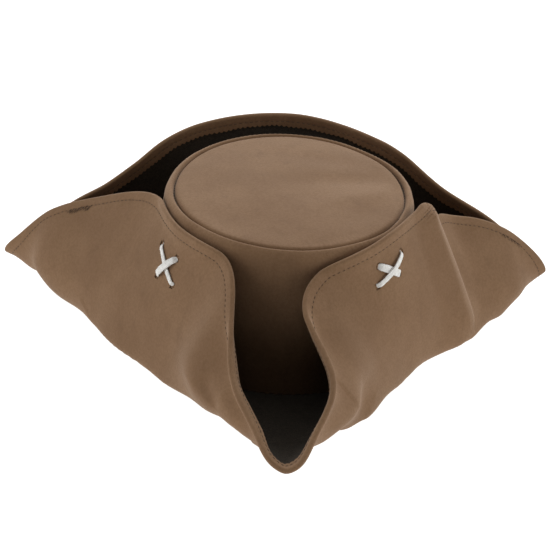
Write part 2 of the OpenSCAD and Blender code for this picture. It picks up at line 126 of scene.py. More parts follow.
@dataclass(frozen=True)
class HatSizes:
    """Sizes of the hat, the same as in the part's source."""
    head_w: float = 166.0
    head_l: float = 200.0
    crown_h: float = 100.0
    crown_lean: float = 5.0
    shoulder_w: float = 6.0
    shoulder_h: float = 7.0
    tip_rise: float = 4.0
    brim_z: float = 4.0
    hem_w: float = 8.0
    flap_gap: float = 0.3
    suede: float = 0.8
    brim_buckram: float = 0.6
    felt: float = 1.0
    crown_buckram: float = 0.8
    lining: float = 0.4
    gap: float = 0.1
    band_h: float = 32.0
    band: float = 1.0
    fold_share: float = 0.25

    @property
    def wall(self) -> float:
        """Thickness of everything between the head opening and the side band's outer face."""
        return self.band + self.lining + self.crown_buckram + self.suede + 4 * self.gap

    @property
    def foot(self) -> tuple[float, float]:
        """Half width and half length of the side band's outer oval at its foot."""
        return self.head_w / 2 + self.wall, self.head_l / 2 + self.wall

    @property
    def foot_z(self) -> float:
        """Height of the side band's lower edge."""
        return self.brim_z - 1.2

    @property
    def band_z(self) -> float:
        """Height of the sweatband's lower edge."""
        return self.foot_z - self.gap - self.band

    @property
    def shoulder_z(self) -> float:
        """Height at which the side band turns into the rolled shoulder."""
        return self.crown_h - self.shoulder_h

    @property
    def seam_in(self) -> float:
        """How far in from the foot's oval the tip seam lies."""
        return self.crown_lean + self.shoulder_w

    # Faces of the brim's layers, measured outwards from the face between suede and stiffener.
    @property
    def suede_in(self) -> float:
        """Returns the suede's inner face."""
        return self.gap / 2

    @property
    def suede_out(self) -> float:
        """Returns the suede's outer face."""
        return self.suede_in + self.suede

    @property
    def stiff_out(self) -> float:
        """Returns the stiffener's outer face."""
        return -self.gap / 2

    @property
    def stiff_in(self) -> float:
        """Returns the stiffener's inner face."""
        return self.stiff_out - self.brim_buckram

    @property
    def felt_out(self) -> float:
        """Returns the felt's outer face."""
        return self.stiff_in - self.gap

    @property
    def felt_in(self) -> float:
        """Returns the felt's inner face."""
        return self.felt_out - self.felt

    @property
    def hem_out(self) -> float:
        """Returns the hem's face against the felt."""
        return self.felt_in - self.gap

    @property
    def hem_in(self) -> float:
        """Returns the hem's free face."""
        return self.hem_out - self.suede

    def lean(self, z: Number) -> Number:
        """Returns how far the side band leans in at a height."""
        return self.crown_lean * np.clip(np.asarray(z, float) / self.shoulder_z, 0, 1) ** 1.5

    def oval(self, angle: Number, inset: Number, z: Number) -> np.ndarray:
        """Returns places on an oval section of the crown.

        Args:
            angle: degrees from the front towards +X.
            inset: how far in from the foot's oval.
            z: height.

        Returns:
            The places.
        """
        a = np.radians(angle)
        fx, fy = self.foot
        x, y = (fx - inset) * np.sin(a), -(fy - inset) * np.cos(a)
        return np.stack(np.broadcast_arrays(x, y, np.asarray(z, float)), -1)


# The brim's shape at stations round the crown: the angle from the front, then three places as
# (out, along, up) from the crown's foot: the turn-up's corner, the flap's middle and the edge.
STATIONS = (
    (0, (44, 2, 8), (82, 4, 9), (112, 8, 17)),
    (14, (48, 0, 9), (76, -4, 20), (78, -16, 43)),
    (28, (30, 0, 5), (37, -12, 44), (15, -42, 75)),
    (42, (21, 0, 1), (12, -18, 54), (-11, -36, 91)),
    (56, (13, 0, 1), (9, -6, 54), (-4, -13, 102)),
    (68, (18, 0, 1), (15, 4, 56), (-1, 3, 104)),
    (76, (37, 16, 6), (22, 13, 58), (3, 8, 104)),
    (84, (45, 10, 7), (35, 22, 49), (16, 33, 84)),
    (98, (60, 2, 7), (74, 12, 32), (65, 25, 60)),
    (112, (46, 0, 7), (82, -3, 12), (101, -7, 24)),
    (129, (46, 0, 5), (70, -10, 25), (72, -27, 48)),
    (146, (26, 0, 2), (46, -14, 33), (45, -36, 65)),
    (163, (17, 0, 1), (24, -14, 48), (21, -32, 92)),
    (180, (13, 0, 1), (17, 0, 56), (8, 0, 107)),
    (197, (17, 0, 1), (24, 14, 50), (22, 32, 97)),
    (214, (26, 0, 2), (48, 14, 33), (50, 37, 66)),
    (231, (50, 0, 5), (72, 10, 24), (76, 26, 46)),
    (248, (56, 0, 6), (84, 4, 7), (113, 10, 12)),
    (262, (64, 0, 3), (82, -6, 25), (77, -21, 52)),
    (276, (46, 0, 1), (50, -14, 40), (33, -35, 77)),
    (290, (30, 0, 1), (26, -14, 50), (0, -28, 94)),
    (304, (20, 0, 1), (12, 0, 52), (-5, -2, 95)),
    (318, (20, 0, 1), (14, 12, 48), (-3, 28, 91)),
    (332, (28, 0, 6), (40, 10, 36), (29, 34, 65)),
    (346, (46, 0, 11), (72, 8, 20), (72, 26, 38)),
)


@dataclass(frozen=True)
class Fold:
    """A crease or a soft wave in the brim.

    Attributes:
        path: places it runs through, as (station, share from foot to edge).
        height: how far it stands out, in millimetres, negative for a hollow.
        width: how far it reaches to each side.
        sharp: a crease with an edge, where a soft wave has none.
    """
    path: tuple[tuple[float, float], ...]
    height: float
    width: float
    sharp: bool = False


@dataclass(frozen=True)
class Nudge:
    """A place where the finished hat's cloth lies a little off its plain shape.

    Attributes:
        u, v: the place, in stations and in share from foot to edge.
        du, dv: how far it reaches in each.
        move: how far the place moves, (x, y, z) in millimetres.
    """
    u: float
    v: float
    du: float
    dv: float
    move: tuple[float, float, float]


@dataclass(frozen=True)
class Curl:
    """A stretch of edge that curls outwards, so that the hem's inner side shows.

    Attributes:
        places: (station, degrees) pairs along the edge, from none to none.
        reach: how far back from the edge the curl begins, in millimetres.
        fade: how much further back the cloth gives way for it.
    """
    places: tuple[tuple[float, float], ...]
    reach: float = 16.0
    fade: float = 38.0


FOLDS = (
    Fold(((5.9, 1.0), (5.82, 0.96), (5.84, 0.9), (5.92, 0.8), (6.0, 0.68), (6.1, 0.55), (6.3, 0.4)),
         4.6, 21, True),
    Fold(((2.0, 0.42), (1.9, 0.6), (1.8, 0.75), (1.8, 0.88)), -2.0, 18),
    Fold(((24.0, 0.68), (23.65, 0.8), (23.35, 0.83), (23.1, 0.84)), -2.6, 10),
    Fold(((24.3, 0.8), (24.1, 0.85), (23.7, 0.89), (23.5, 0.9)), 1.4, 9),
    Fold(((19.2, 0.45), (19.4, 0.65), (19.6, 0.85)), -0.9, 24),
)
NUDGES = (
    Nudge(17.7, 0.72, 0.8, 0.28, (-5.5, -2, -1)),
    Nudge(17.28, 0.88, 0.35, 0.12, (-1, -2, -3.6)),
    Nudge(17.25, 1.0, 0.22, 0.06, (0, 0, 2.6)),
    Nudge(18.9, 0.38, 0.7, 0.25, (2, 4, 3)),
    Nudge(17.9, 1.0, 0.6, 0.3, (0, 0, 2)),
    Nudge(14.6, 1.0, 0.4, 0.3, (0, 0, 3)),
    Nudge(15.6, 1.0, 0.4, 0.3, (0, 0, -2.5)),
    Nudge(24.62, 1.0, 0.22, 0.14, (-1.5, -3, 0)),
    Nudge(25.33, 1.0, 0.22, 0.14, (1.8, -2.5, 0)),
    Nudge(25.0, 1.0, 0.3, 0.14, (0, -2.5, 0)),
    Nudge(1.42, 1.0, 0.48, 0.3, (9, 0, 0)),
    Nudge(23.6, 1.0, 0.75, 0.3, (-7, 0, 0)),
    Nudge(24.3, 0.8, 0.35, 0.14, (0, -1.5, -3.5)),
    Nudge(0.75, 0.8, 0.3, 0.14, (0, -1.5, -3)),
    Nudge(1.32, 0.46, 0.35, 0.16, (0, -1.2, -1.8)),
    Nudge(1.9, 0.4, 0.55, 0.2, (1.5, -3, -3.5)),
    Nudge(3.0, 0.33, 0.6, 0.22, (-1, 3, 2.5)),
    Nudge(5.0, 0.34, 0.7, 0.22, (-1.5, 3, 2)),
    Nudge(7.5, 0.38, 0.35, 0.2, (-1, 2, 1.5)),
    Nudge(8.35, 0.78, 0.6, 0.3, (4, 0, -4)),
    Nudge(8.6, 1.0, 0.4, 0.2, (0.5, 0, 1.6)),
    Nudge(8.9, 0.92, 0.4, 0.14, (0.5, 0, -2.2)),
    Nudge(9.05, 1.0, 0.4, 0.3, (-2.5, 0, 0)),
    Nudge(6.55, 1.0, 0.28, 0.35, (0, 0, -8)),
    Nudge(7.05, 1.0, 0.4, 0.35, (0, 0, -4)),
)
CURLS = (
    Curl(((22.7, 0), (23.3, 76), (24.0, 92), (24.4, 62), (24.7, 22), (25.0, 0))),
    Curl(((0.1, 0), (0.6, 30), (0.9, 42), (1.4, 44), (1.8, 30), (2.3, 0))),
)


# ---------------------------------------------------------------- the brim's surface

class Brim:
    """The brim's middle face on a fine grid, with every layer's face at a given way outside it."""

    EASE = 0.006
    EDGE = 12
    EDGE_ROWS = (12, 11, 10, 9.2, 8.6, 8.0, 7.4, 6.8, 6.2, 5.7, 5.35, 5.0, 4.65, 4.3, 3.8, 3.2, 2.6,
                 2.0, 1.4, 0.8, 0.3, 0.0)

    def __init__(self, sizes: HatSizes, rings: int = 900, plain_rows: int = 72) -> None:
        """Lays the grid out.

        Args:
            sizes: the hat's sizes.
            rings: sections round the brim.
            plain_rows: rows from the foot to where the edge's fine rows begin.
        """
        self.sizes = sizes
        self.rings = rings
        self.plain_rows = plain_rows
        angle = np.array([s[0] for s in STATIONS], float)
        fx, fy = sizes.foot
        self.angles = np.append(angle, 360.0)
        a = np.radians(angle)
        n = unit(np.stack([np.sin(a) / fx, -np.cos(a) / fy], -1))
        foot = np.stack([fx * np.sin(a), -fy * np.cos(a)], -1)
        t = np.stack([-n[:, 1], n[:, 0]], -1)
        self.rows = []
        for k in (1, 2, 3):
            p = np.array([s[k] for s in STATIONS], float)
            self.rows.append(np.column_stack([foot + n * p[:, :1] + t * p[:, 1:2], p[:, 2]]))
        self.u = np.arange(rings) * len(STATIONS) / rings
        self.v = self._row_shares()
        flat = self._kept_off(self._nudged(self.u[:, None], self.v))
        out = self._normals(flat)
        plain = 1 - np.arange(plain_rows) / plain_rows
        back = np.concatenate([(self.run[:, None] - self.EDGE) * plain + self.EDGE,
                               np.broadcast_to(self.EDGE_ROWS, (rings, len(self.EDGE_ROWS)))], 1)
        lift = self._folds(flat)
        self.grid = self._curled(self._kept_off(flat + out * lift[..., None]), back)
        self.out = self._normals(self.grid)
        edge = self.grid[:, -1] - self.grid[:, -4]
        last = self.out[:, -1]
        self.edge_dir = unit(edge - last * (edge * last).sum(-1, keepdims=True))
        steps = np.linalg.norm(np.roll(self.grid[:, -1], -1, 0) - self.grid[:, -1], axis=-1)
        self.edge_run = np.concatenate([[0.0], np.cumsum(steps)])

    @staticmethod
    def _around(row: np.ndarray, u: np.ndarray) -> np.ndarray:
        """Reads a smooth closed curve.

        Args:
            row: the points the curve goes through.
            u: places on it, in points.

        Returns:
            The curve's points there.
        """
        n = len(row)
        i = np.floor(u).astype(int)
        f = (u - i)[..., None]
        return cubic(row[(i - 1) % n], row[i % n], row[(i + 1) % n], row[(i + 2) % n], f)

    @staticmethod
    def _rounded(corners: Sequence[np.ndarray], v: np.ndarray) -> np.ndarray:
        """Reads a curve that keeps its first and last corner and rounds the others.

        Args:
            corners: the curve's corners.
            v: places on it, from 0 to 1.

        Returns:
            The curve's points there.
        """
        shape = np.broadcast_shapes(corners[1].shape[:-1], v.shape)
        c = np.stack([np.broadcast_to(x, shape + (3,)) for x in corners])
        v = np.broadcast_to(v, shape)
        spans = len(corners) - 2
        s = np.minimum(np.floor(v * spans), spans - 1).astype(int)
        f = (v * spans - s)[..., None]
        pick = lambda k: np.take_along_axis(c, k[None, ..., None], 0)[0]
        p, q, r = pick(s), pick(s + 1), pick(s + 2)
        a = np.where((s == 0)[..., None], p, (p + q) / 2)
        b = np.where((s == spans - 1)[..., None], r, (q + r) / 2)
        return a * (1 - f) ** 2 + 2 * q * f * (1 - f) + b * f ** 2

    def _plain(self, u: np.ndarray, v: np.ndarray) -> np.ndarray:
        """Reads the surface before its folds.

        Args:
            u: places round the brim, in stations.
            v: places from foot to edge.

        Returns:
            The points.
        """
        s = self.sizes
        turn = np.interp(u % len(STATIONS), np.arange(len(STATIONS) + 1), self.angles)
        foot = s.oval(turn, -s.gap, s.brim_z)
        corner, middle, edge = (self._around(row, u) for row in self.rows)
        return self._rounded([foot, mix(corner, foot, s.fold_share), corner,
                              mix(corner, middle, s.fold_share), middle, edge], v)

    def _nudged(self, u: np.ndarray, v: np.ndarray) -> np.ndarray:
        """Reads the surface with its nudges.

        Args:
            u: places round the brim, in stations.
            v: places from foot to edge.

        Returns:
            The points.
        """
        p = self._plain(u, v)
        n = len(STATIONS)
        for k in NUDGES:
            du = (u - k.u + n / 2) % n - n / 2
            weight = np.exp(-(du / k.du) ** 2 - ((v - k.v) / k.dv) ** 2) * smooth(v / 0.15)
            p = p + weight[..., None] * np.array(k.move)
        return p

    def _curled(self, grid: np.ndarray, back: np.ndarray) -> np.ndarray:
        """Curls the edge where the curls say, the edge itself kept in place.

        Args:
            grid: the brim's points.
            back: each point's way back from the edge.

        Returns:
            The curled grid.
        """
        out = self._normals(grid)
        grid = grid.copy()
        for curl in CURLS:
            places = np.array(curl.places)
            angle = np.interp(self.u, places[:, 0], places[:, 1], 0, 0)
            for _ in range(3):
                angle = np.convolve(np.pad(angle, 4, "wrap"), np.ones(9) / 9, "valid")
            angle = np.radians(angle)
            for k in np.flatnonzero(angle > 0.01):
                first = int(np.argmax(back[k] < curl.reach)) - 1
                way = unit(grid[k, first + 1] - grid[k, first])
                normal = unit(out[k, first] - way * (out[k, first] @ way))
                run = back[k, first] - back[k, first:]
                turn = angle[k] * smooth(run / run[-1])
                step = np.diff(run)[:, None]
                middle = ((turn[1:] + turn[:-1]) / 2)[:, None]
                bend = np.cumsum(step * ((np.cos(middle) - 1) * way + np.sin(middle) * normal), 0)
                give = smooth(1 - (back[k] - back[k, first]) / curl.fade)[:, None]
                grid[k, first + 1:] += bend
                grid[k] -= bend[-1] * give
        return grid

    def _kept_off(self, p: np.ndarray) -> np.ndarray:
        """Lays any place that leans into the side band against it instead.

        Args:
            p: places in space.

        Returns:
            The places, moved out where they have to be.
        """
        s = self.sizes
        fx, fy = s.foot
        gap = (s.flap_gap - s.hem_in) * np.clip((p[..., 2] - s.brim_z) / 10, 0, 1) + s.gap
        inset = s.lean(p[..., 2]) - gap
        q = np.hypot(p[..., 0] / (fx - inset), p[..., 1] / (fy - inset))
        eased = 1 + self.EASE * np.logaddexp(0, (q - 1) / self.EASE)
        k = np.where(p[..., 2] > s.brim_z + 3, eased, np.maximum(q, 1)) / q
        return np.stack([p[..., 0] * k, p[..., 1] * k, p[..., 2]], -1)

    def _row_shares(self) -> np.ndarray:
        """Returns v for each grid row: even steps, then rows at set ways back from the edge."""
        fine = np.linspace(0, 1, 161)
        p = self._nudged(self.u[:, None], fine[None, :])
        run = np.concatenate([np.zeros((self.rings, 1)),
                              np.cumsum(np.linalg.norm(np.diff(p, axis=1), axis=-1), 1)], 1)
        self.run = run[:, -1]
        rows = []
        for k in range(self.rings):
            last = self.run[k]
            want = np.concatenate([np.linspace(0, last - self.EDGE, self.plain_rows, endpoint=False),
                                   last - np.array(self.EDGE_ROWS)])
            rows.append(np.interp(want, run[k], fine))
        return np.array(rows)

    @staticmethod
    def _normals(p: np.ndarray) -> np.ndarray:
        """Returns the directions that point to the suede's side."""
        du = np.roll(p, -1, 0) - np.roll(p, 1, 0)
        dv = np.gradient(p, axis=1)
        return unit(np.cross(du, dv))

    def _folds(self, p: np.ndarray) -> np.ndarray:
        """Finds how far folds and the cloth's own ripple lift each place.

        Args:
            p: the brim's points.

        Returns:
            The lift outwards, in millimetres.
        """
        share = np.clip((self.v - 0.3) / 0.4, 0, 1)
        lift = (0.45 * ripple(p, 70, 3) + 0.1 * ripple(p, 21, 5)) * smooth(share)
        for fold in FOLDS:
            path = np.array(fold.path)
            t = np.linspace(0, 1, 48)
            knots = np.linspace(0, 1, len(path))
            line = self._nudged(np.interp(t, knots, path[:, 0]), np.interp(t, knots, path[:, 1]))
            near = np.full(p.shape[:2], 1e9)
            where = np.zeros(p.shape[:2])
            for k, q in enumerate(self._kept_off(line)):
                d = np.linalg.norm(p - q, axis=-1)
                where = np.where(d < near, t[k], where)
                near = np.minimum(near, d)
            d = near / fold.width
            if fold.sharp:
                shape = np.clip(1.07 - np.sqrt(d ** 2 + 0.005), 0, 1) ** 1.6
            else:
                shape = np.exp(-2.2 * d ** 2)
            ends = smooth(where / (0.12 if fold.sharp else 0.35)) * smooth((1 - where) / 0.32)
            lift += fold.height * shape * ends
        return lift

    def face(self, out: float) -> np.ndarray:
        """Returns the grid of one layer's face."""
        return self.grid + self.out * out

    def at(self, u: float, v: float, out: float) -> np.ndarray:
        """Reads one place on a face.

        Args:
            u: the place round the brim, in stations.
            v: the place from foot to edge.
            out: the face, as a way out from the middle one.

        Returns:
            The point.
        """
        x = (u * self.rings / len(STATIONS)) % self.rings
        i, j = int(x), (int(x) + 1) % self.rings
        f = x - int(x)
        place = []
        for k in (i, j):
            r = np.interp(v, self.v[k], np.arange(self.v.shape[1]))
            a = min(int(r), self.v.shape[1] - 2)
            g = r - a
            p = mix(self.grid[k, a], self.grid[k, a + 1], g)
            n = mix(self.out[k, a], self.out[k, a + 1], g)
            place.append((p, n))
        p, n = mix(place[0][0], place[1][0], f), unit(mix(place[0][1], place[1][1], f))
        return p + n * out

    def out_at(self, u: float, v: float) -> np.ndarray:
        """Returns the outward direction at one place."""
        return unit(self.at(u, v, 1.0) - self.at(u, v, 0.0))

    def from_edge(self, u: float, back: float) -> float:
        """Finds v at a way back from the edge.

        Args:
            u: the place round the brim, in stations.
            back: the way back, in millimetres.

        Returns:
            The share from foot to edge.
        """
        k = int(u * self.rings / len(STATIONS)) % self.rings
        plain = np.linspace(0, self.run[k] - self.EDGE, self.plain_rows, endpoint=False)
        run = np.concatenate([plain,
                              self.run[k] - np.array(self.EDGE_ROWS)])
        return float(np.interp(self.run[k] - back, run, self.v[k]))

    def at_height(self, u: float, z: float) -> float:
        """Finds v at which a flap reaches a height.

        Args:
            u: the place round the brim, in stations.
            z: the height.

        Returns:
            The share from foot to edge.
        """
        low, high = 0.45, 0.98
        for _ in range(14):
            middle = (low + high) / 2
            if self.at(u, middle, 0.0)[2] < z:
                low = middle
            else:
                high = middle
        return (low + high) / 2

    def station_at_run(self, run: float) -> float:
        """Returns the station at a way along the edge."""
        x = np.interp(run % self.edge_run[-1], self.edge_run, np.arange(self.rings + 1))
        return float(x * len(STATIONS) / self.rings)


# ---------------------------------------------------------------- meshes

class Patchwork:
    """Points and quads that become one mesh, with each point's place along and across its cloth."""

    def __init__(self) -> None:
        """Starts with nothing in it."""
        self.points: list[np.ndarray] = []
        self.cloth: list[np.ndarray] = []
        self.quads: list[np.ndarray] = []
        self.count = 0

    def grid(self, points: np.ndarray, closed: bool = False, closed_across: bool = False,
             cloth: np.ndarray | None = None, skip: np.ndarray | None = None) -> int:
        """Adds a grid of points.

        Args:
            points: rows of points, (rows, columns, 3).
            closed: the last row joins the first.
            closed_across: the last column joins the first.
            cloth: each point's (along, across, 0), in millimetres, or None.
            skip: True for each point whose quads are left out, or None.

        Returns:
            The index of the grid's first point.
        """
        n, m = points.shape[:2]
        first = self.count
        i = np.arange(n if closed else n - 1)[:, None]
        j = np.arange(m if closed_across else m - 1)[None, :]
        a, b = i * m + j, i * m + (j + 1) % m
        c, d = (i + 1) % n * m + (j + 1) % m, (i + 1) % n * m + j
        quads = np.stack([a, d, c, b], -1).reshape(-1, 4)
        if skip is not None:
            quads = quads[~skip.reshape(-1)[quads].any(1)]
        self.quads.append(quads + first)
        self.points.append(points.reshape(-1, 3))
        self.cloth.append(np.zeros((n * m, 3)) if cloth is None else cloth.reshape(-1, 3))
        self.count += n * m
        return first

    def tube(self, path: np.ndarray, radius: Number, sides: int = 8,
             up: np.ndarray | None = None, flat: np.ndarray | None = None) -> None:
        """Adds a tube or a flat ribbon with rounded ends.

        Args:
            path: the centre line's points.
            radius: half the thickness, one value or one for each point.
            sides: corners of its section.
            up: the direction of the thickness at each point, or None.
            flat: half the width at each point, or None for a round tube.
        """
        path = np.asarray(path, float)
        along = unit(np.gradient(path, axis=0))
        if up is None:
            side = np.zeros_like(path)
            last = unit(np.cross(along[0], [0.31, 0.17, 0.93]))
            for k, a in enumerate(along):
                last = unit(last - a * (last @ a))
                side[k] = last
            up = np.cross(side, along)
        else:
            side = unit(np.cross(along, up))
            up = np.cross(side, along)
        radius = np.broadcast_to(np.asarray(radius, float), len(path))
        wide = radius if flat is None else np.asarray(flat, float)
        angle = np.arange(sides) * 2 * math.pi / sides
        power = 1.0 if flat is None else 0.62
        cx = np.sign(np.cos(angle)) * np.abs(np.cos(angle)) ** power
        cy = np.sign(np.sin(angle)) * np.abs(np.sin(angle)) ** power
        rows = (path[:, None] + side[:, None] * (cx[None, :, None] * wide[:, None, None])
                + up[:, None] * (cy[None, :, None] * radius[:, None, None]))
        run = np.concatenate([[0], np.cumsum(np.linalg.norm(np.diff(path, axis=0), axis=1))])
        cloth = np.stack(np.broadcast_arrays(run[:, None], cx[None] * wide[:, None], 0.0), -1)
        first = self.grid(rows, closed_across=True, cloth=cloth)
        n = len(path)
        for ring, centre in ((0, path[0]), (n - 1, path[-1])):
            self.points.append(centre[None])
            self.cloth.append(np.array([[run[ring], 0, 0]]))
            ids = first + ring * sides + np.arange(sides)
            nxt = np.roll(ids, -1)
            mid = np.full(sides, self.count)
            order = (ids, nxt, mid) if ring == 0 else (nxt, ids, mid)
            self.quads.append(np.stack([*order, np.full(sides, -1)], -1))
            self.count += 1

    def build(self, name: str, material: bpy.types.Material) -> bpy.types.Object:
        """Makes the mesh object.

        Args:
            name: the object's name.
            material: its material.

        Returns:
            The object, linked to the scene.
        """
        mesh = bpy.data.meshes.new(name)
        points = np.concatenate(self.points) * MM
        faces = [f[:3] if f[3] < 0 else f for f in np.concatenate(self.quads).tolist()]
        mesh.from_pydata(points.tolist(), [], faces)
        layer = mesh.attributes.new("cloth_mm", "FLOAT_VECTOR", "POINT")
        layer.data.foreach_set("vector", np.concatenate(self.cloth).astype(np.float32).ravel())
        mesh.validate()
        mesh.shade_smooth()
        mesh.set_sharp_from_angle(angle=math.radians(SHARP_DEGREES))
        mesh.materials.append(material)
        obj = bpy.data.objects.new(name, mesh)
        bpy.context.scene.collection.objects.link(obj)
        return obj


def settle(obj: bpy.types.Object, slot: str, *nodes: str) -> bpy.types.Object:
    """Sets a piece to ride with the hat and hides the solids it stands for.

    Args:
        obj: the piece.
        slot: its material slot; not used.
        *nodes: the solids it stands for.

    Returns:
        The piece.
    """
    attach(obj, BODY)
    if nodes:
        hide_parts(*nodes)
    log.info("%s: %d points for %s", obj.name, len(obj.data.vertices), ", ".join(nodes))
    return obj


# ---------------------------------------------------------------- materials

class Graph:
    """A thin wrapper that adds and links shader nodes."""

    def __init__(self, tree: bpy.types.NodeTree) -> None:
        """Works on a node tree."""
        self.tree = tree

    def add(self, kind: str, setup: dict | None = None, **inputs: object) -> bpy.types.Node:
        """Adds a node.

        Args:
            kind: the node's type without its prefix.
            setup: properties set on the node.
            **inputs: socket name, with _ for a space, or i0, i1 for a position, to value or socket.

        Returns:
            The node.
        """
        node = self.tree.nodes.new("ShaderNode" + kind)
        for key, value in (setup or {}).items():
            setattr(node, key, value)
        for key, value in inputs.items():
            socket = node.inputs[int(key[1:])] if key[0] == "i" and key[1:].isdigit() \
                else node.inputs[key.replace("_", " ")]
            if isinstance(value, Socket):
                self.tree.links.new(value, socket)
            else:
                socket.default_value = value
        return node

    def math(self, operation: str, a: Socket | float, b: Socket | float = 0.0) -> Socket:
        """Adds a math node and returns its value."""
        return self.add("Math", {"operation": operation}, i0=a, i1=b).outputs[0]

    def blend(self, factor: Socket | float, a: Socket | tuple, b: Socket | tuple) -> Socket:
        """Adds a colour mix and returns its colour."""
        return self.add("Mix", {"data_type": "RGBA"}, i0=factor, i6=a, i7=b).outputs[2]

    def noise(self, vector: Socket, scale: float, detail: float = 2.0,
              rough: float = 0.5) -> Socket:
        """Adds a noise and returns its value."""
        return self.add("TexNoise", Vector=vector, Scale=scale, Detail=detail,
                        Roughness=rough).outputs[0]

    def ramp(self, value: Socket, stops: Sequence[tuple[float, float]]) -> Socket:
        """Adds a soft range map from the first stop to the last.

        Args:
            value: what is mapped.
            stops: (value, result) pairs.

        Returns:
            The mapped value.
        """
        (a, x), (b, y) = stops[0], stops[-1]
        return self.add("MapRange", {"interpolation_type": "SMOOTHSTEP"}, Value=value, From_Min=a,
                        From_Max=b, To_Min=x, To_Max=y).outputs[0]


def colour(r: float, g: float, b: float) -> tuple[float, float, float, float]:
    """Returns a linear colour from display values of 0..255."""
    lin = [c / 255 / 12.92 if c <= 10 else ((c / 255 + 0.055) / 1.055) ** 2.4 for c in (r, g, b)]
    return (lin[0], lin[1], lin[2], 1.0)


def new_group(name: str, inputs: Sequence[tuple[str, str, object]],
              outputs: Sequence[tuple[str, str]],
              ) -> tuple[bpy.types.NodeTree, Graph, dict, bpy.types.Node]:
    """Makes an empty node group.

    Args:
        name: its name.
        inputs: (label, kind, default) of each input.
        outputs: (label, kind) of each output.

    Returns:
        The group, its graph, its inputs by label and its output node.
    """
    tree = bpy.data.node_groups.new(name, "ShaderNodeTree")
    for label, kind, default in inputs:
        socket = tree.interface.new_socket(label, in_out="INPUT", socket_type="NodeSocket" + kind)
        socket.default_value = default
    for label, kind in outputs:
        tree.interface.new_socket(label, in_out="OUTPUT", socket_type="NodeSocket" + kind)
    source = tree.nodes.new("NodeGroupInput")
    sink = tree.nodes.new("NodeGroupOutput")
    return tree, Graph(tree), {s.name: s for s in source.outputs if s.name}, sink


def nap_group() -> bpy.types.NodeTree:
    """Returns the brushed nap of microfibre suede: patches, mottling, grain and lint."""
    tree, g, given, sink = new_group(
        "brushed nap",
        [("Colour", "Color", (0.2, 0.13, 0.09, 1)), ("Light", "Color", (0.3, 0.2, 0.14, 1)),
         ("Dark", "Color", (0.12, 0.08, 0.05, 1)), ("Lint", "Float", 1.0)],
        [("Colour", "Color"), ("Roughness", "Float"), ("Height", "Float")])
    place = g.add("TexCoord").outputs["Object"]
    patches = g.noise(place, 26, 3.0, 0.55)
    stretched = g.add("Mapping", Vector=place, Scale=(1.0, 1.0, 0.35)).outputs[0]
    brushed = g.noise(stretched, 120, 3.0, 0.6)
    mottle = g.noise(place, 620, 3.0, 0.65)
    grain = g.noise(place, 2600, 2.0, 0.6)
    tone = g.blend(g.ramp(patches, ((0.32, 0.0), (0.68, 0.55))), given["Colour"], given["Light"])
    tone = g.blend(g.ramp(brushed, ((0.55, 0.0), (0.8, 0.35))), tone, given["Dark"])
    tone = g.blend(g.ramp(mottle, ((0.35, 0.28), (0.62, 0.0))), tone, given["Dark"])
    tone = g.blend(g.ramp(grain, ((0.3, 0.22), (0.6, 0.0))), tone, given["Dark"])
    tone = g.blend(g.ramp(grain, ((0.55, 0.0), (0.8, 0.16))), tone, given["Light"])
    cells = g.add("TexVoronoi", {"feature": "F1"}, Vector=place, Scale=75.0)
    chance = g.add("SeparateColor", Color=cells.outputs["Color"]).outputs[0]
    rare = g.math("GREATER_THAN", chance, 0.955)
    dot = g.math("LESS_THAN", cells.outputs["Distance"], 0.03)
    speck = g.math("MULTIPLY", g.math("MULTIPLY", rare, dot), given["Lint"])
    tone = g.blend(speck, tone, colour(190, 178, 165))
    g.tree.links.new(tone, sink.inputs["Colour"])
    g.tree.links.new(g.ramp(mottle, ((0.3, 0.98), (0.7, 0.82))), sink.inputs["Roughness"])
    height = g.math("ADD", g.math("MULTIPLY", grain, 0.55), g.math("MULTIPLY", mottle, 0.45))
    g.tree.links.new(height, sink.inputs["Height"])
    return tree


def weave_group() -> bpy.types.NodeTree:
    """Returns a plain weave laid along and across its cloth: its height and its gaps."""
    tree, g, given, sink = new_group(
        "plain weave", [("Pitch", "Float", 0.5), ("Gap", "Float", 0.15), ("Skew", "Float", 0.0)],
        [("Height", "Float"), ("Gaps", "Float")])
    cloth = g.add("Attribute", {"attribute_name": "cloth_mm"}).outputs["Vector"]
    xyz = g.add("SeparateXYZ", Vector=cloth)
    across = g.math("ADD", xyz.outputs[1], g.math("MULTIPLY", xyz.outputs[0], given["Skew"]))
    x = g.math("DIVIDE", g.math("MULTIPLY", xyz.outputs[0], math.pi), given["Pitch"])
    y = g.math("DIVIDE", g.math("MULTIPLY", across, math.pi), given["Pitch"])
    warp = g.math("ABSOLUTE", g.math("SINE", x))
    weft = g.math("ABSOLUTE", g.math("SINE", y))
    over = g.math("MULTIPLY", g.math("SINE", x), g.math("SINE", y))
    yarns = g.math("MULTIPLY", g.math("ADD", warp, weft), 0.4)
    height = g.math("ADD", yarns, g.math("MULTIPLY", over, 0.3))
    g.tree.links.new(height, sink.inputs["Height"])
    gaps = g.math("LESS_THAN", g.math("MINIMUM", warp, weft), given["Gap"])
    g.tree.links.new(gaps, sink.inputs["Gaps"])
    return tree


class Surface:
    """A new material with its graph and its shader."""

    def __init__(self, name: str, **values: object) -> None:
        """Starts the material.

        Args:
            name: the material's name.
            **values: values of the shader's own sockets, with _ for a space.
        """
        self.material = bpy.data.materials.new(name)
        self.material.use_nodes = True
        self.graph = Graph(self.material.node_tree)
        self.shader = self.material.node_tree.nodes["Principled BSDF"]
        for key, value in values.items():
            self.shader.inputs[key.replace("_", " ")].default_value = value

    def fed(self, **sockets: Socket) -> bpy.types.Material:
        """Returns the material with sockets linked to its shader, with _ for a space in a name."""
        for key, socket in sockets.items():
            self.graph.tree.links.new(socket, self.shader.inputs[key.replace("_", " ")])
        return self.material


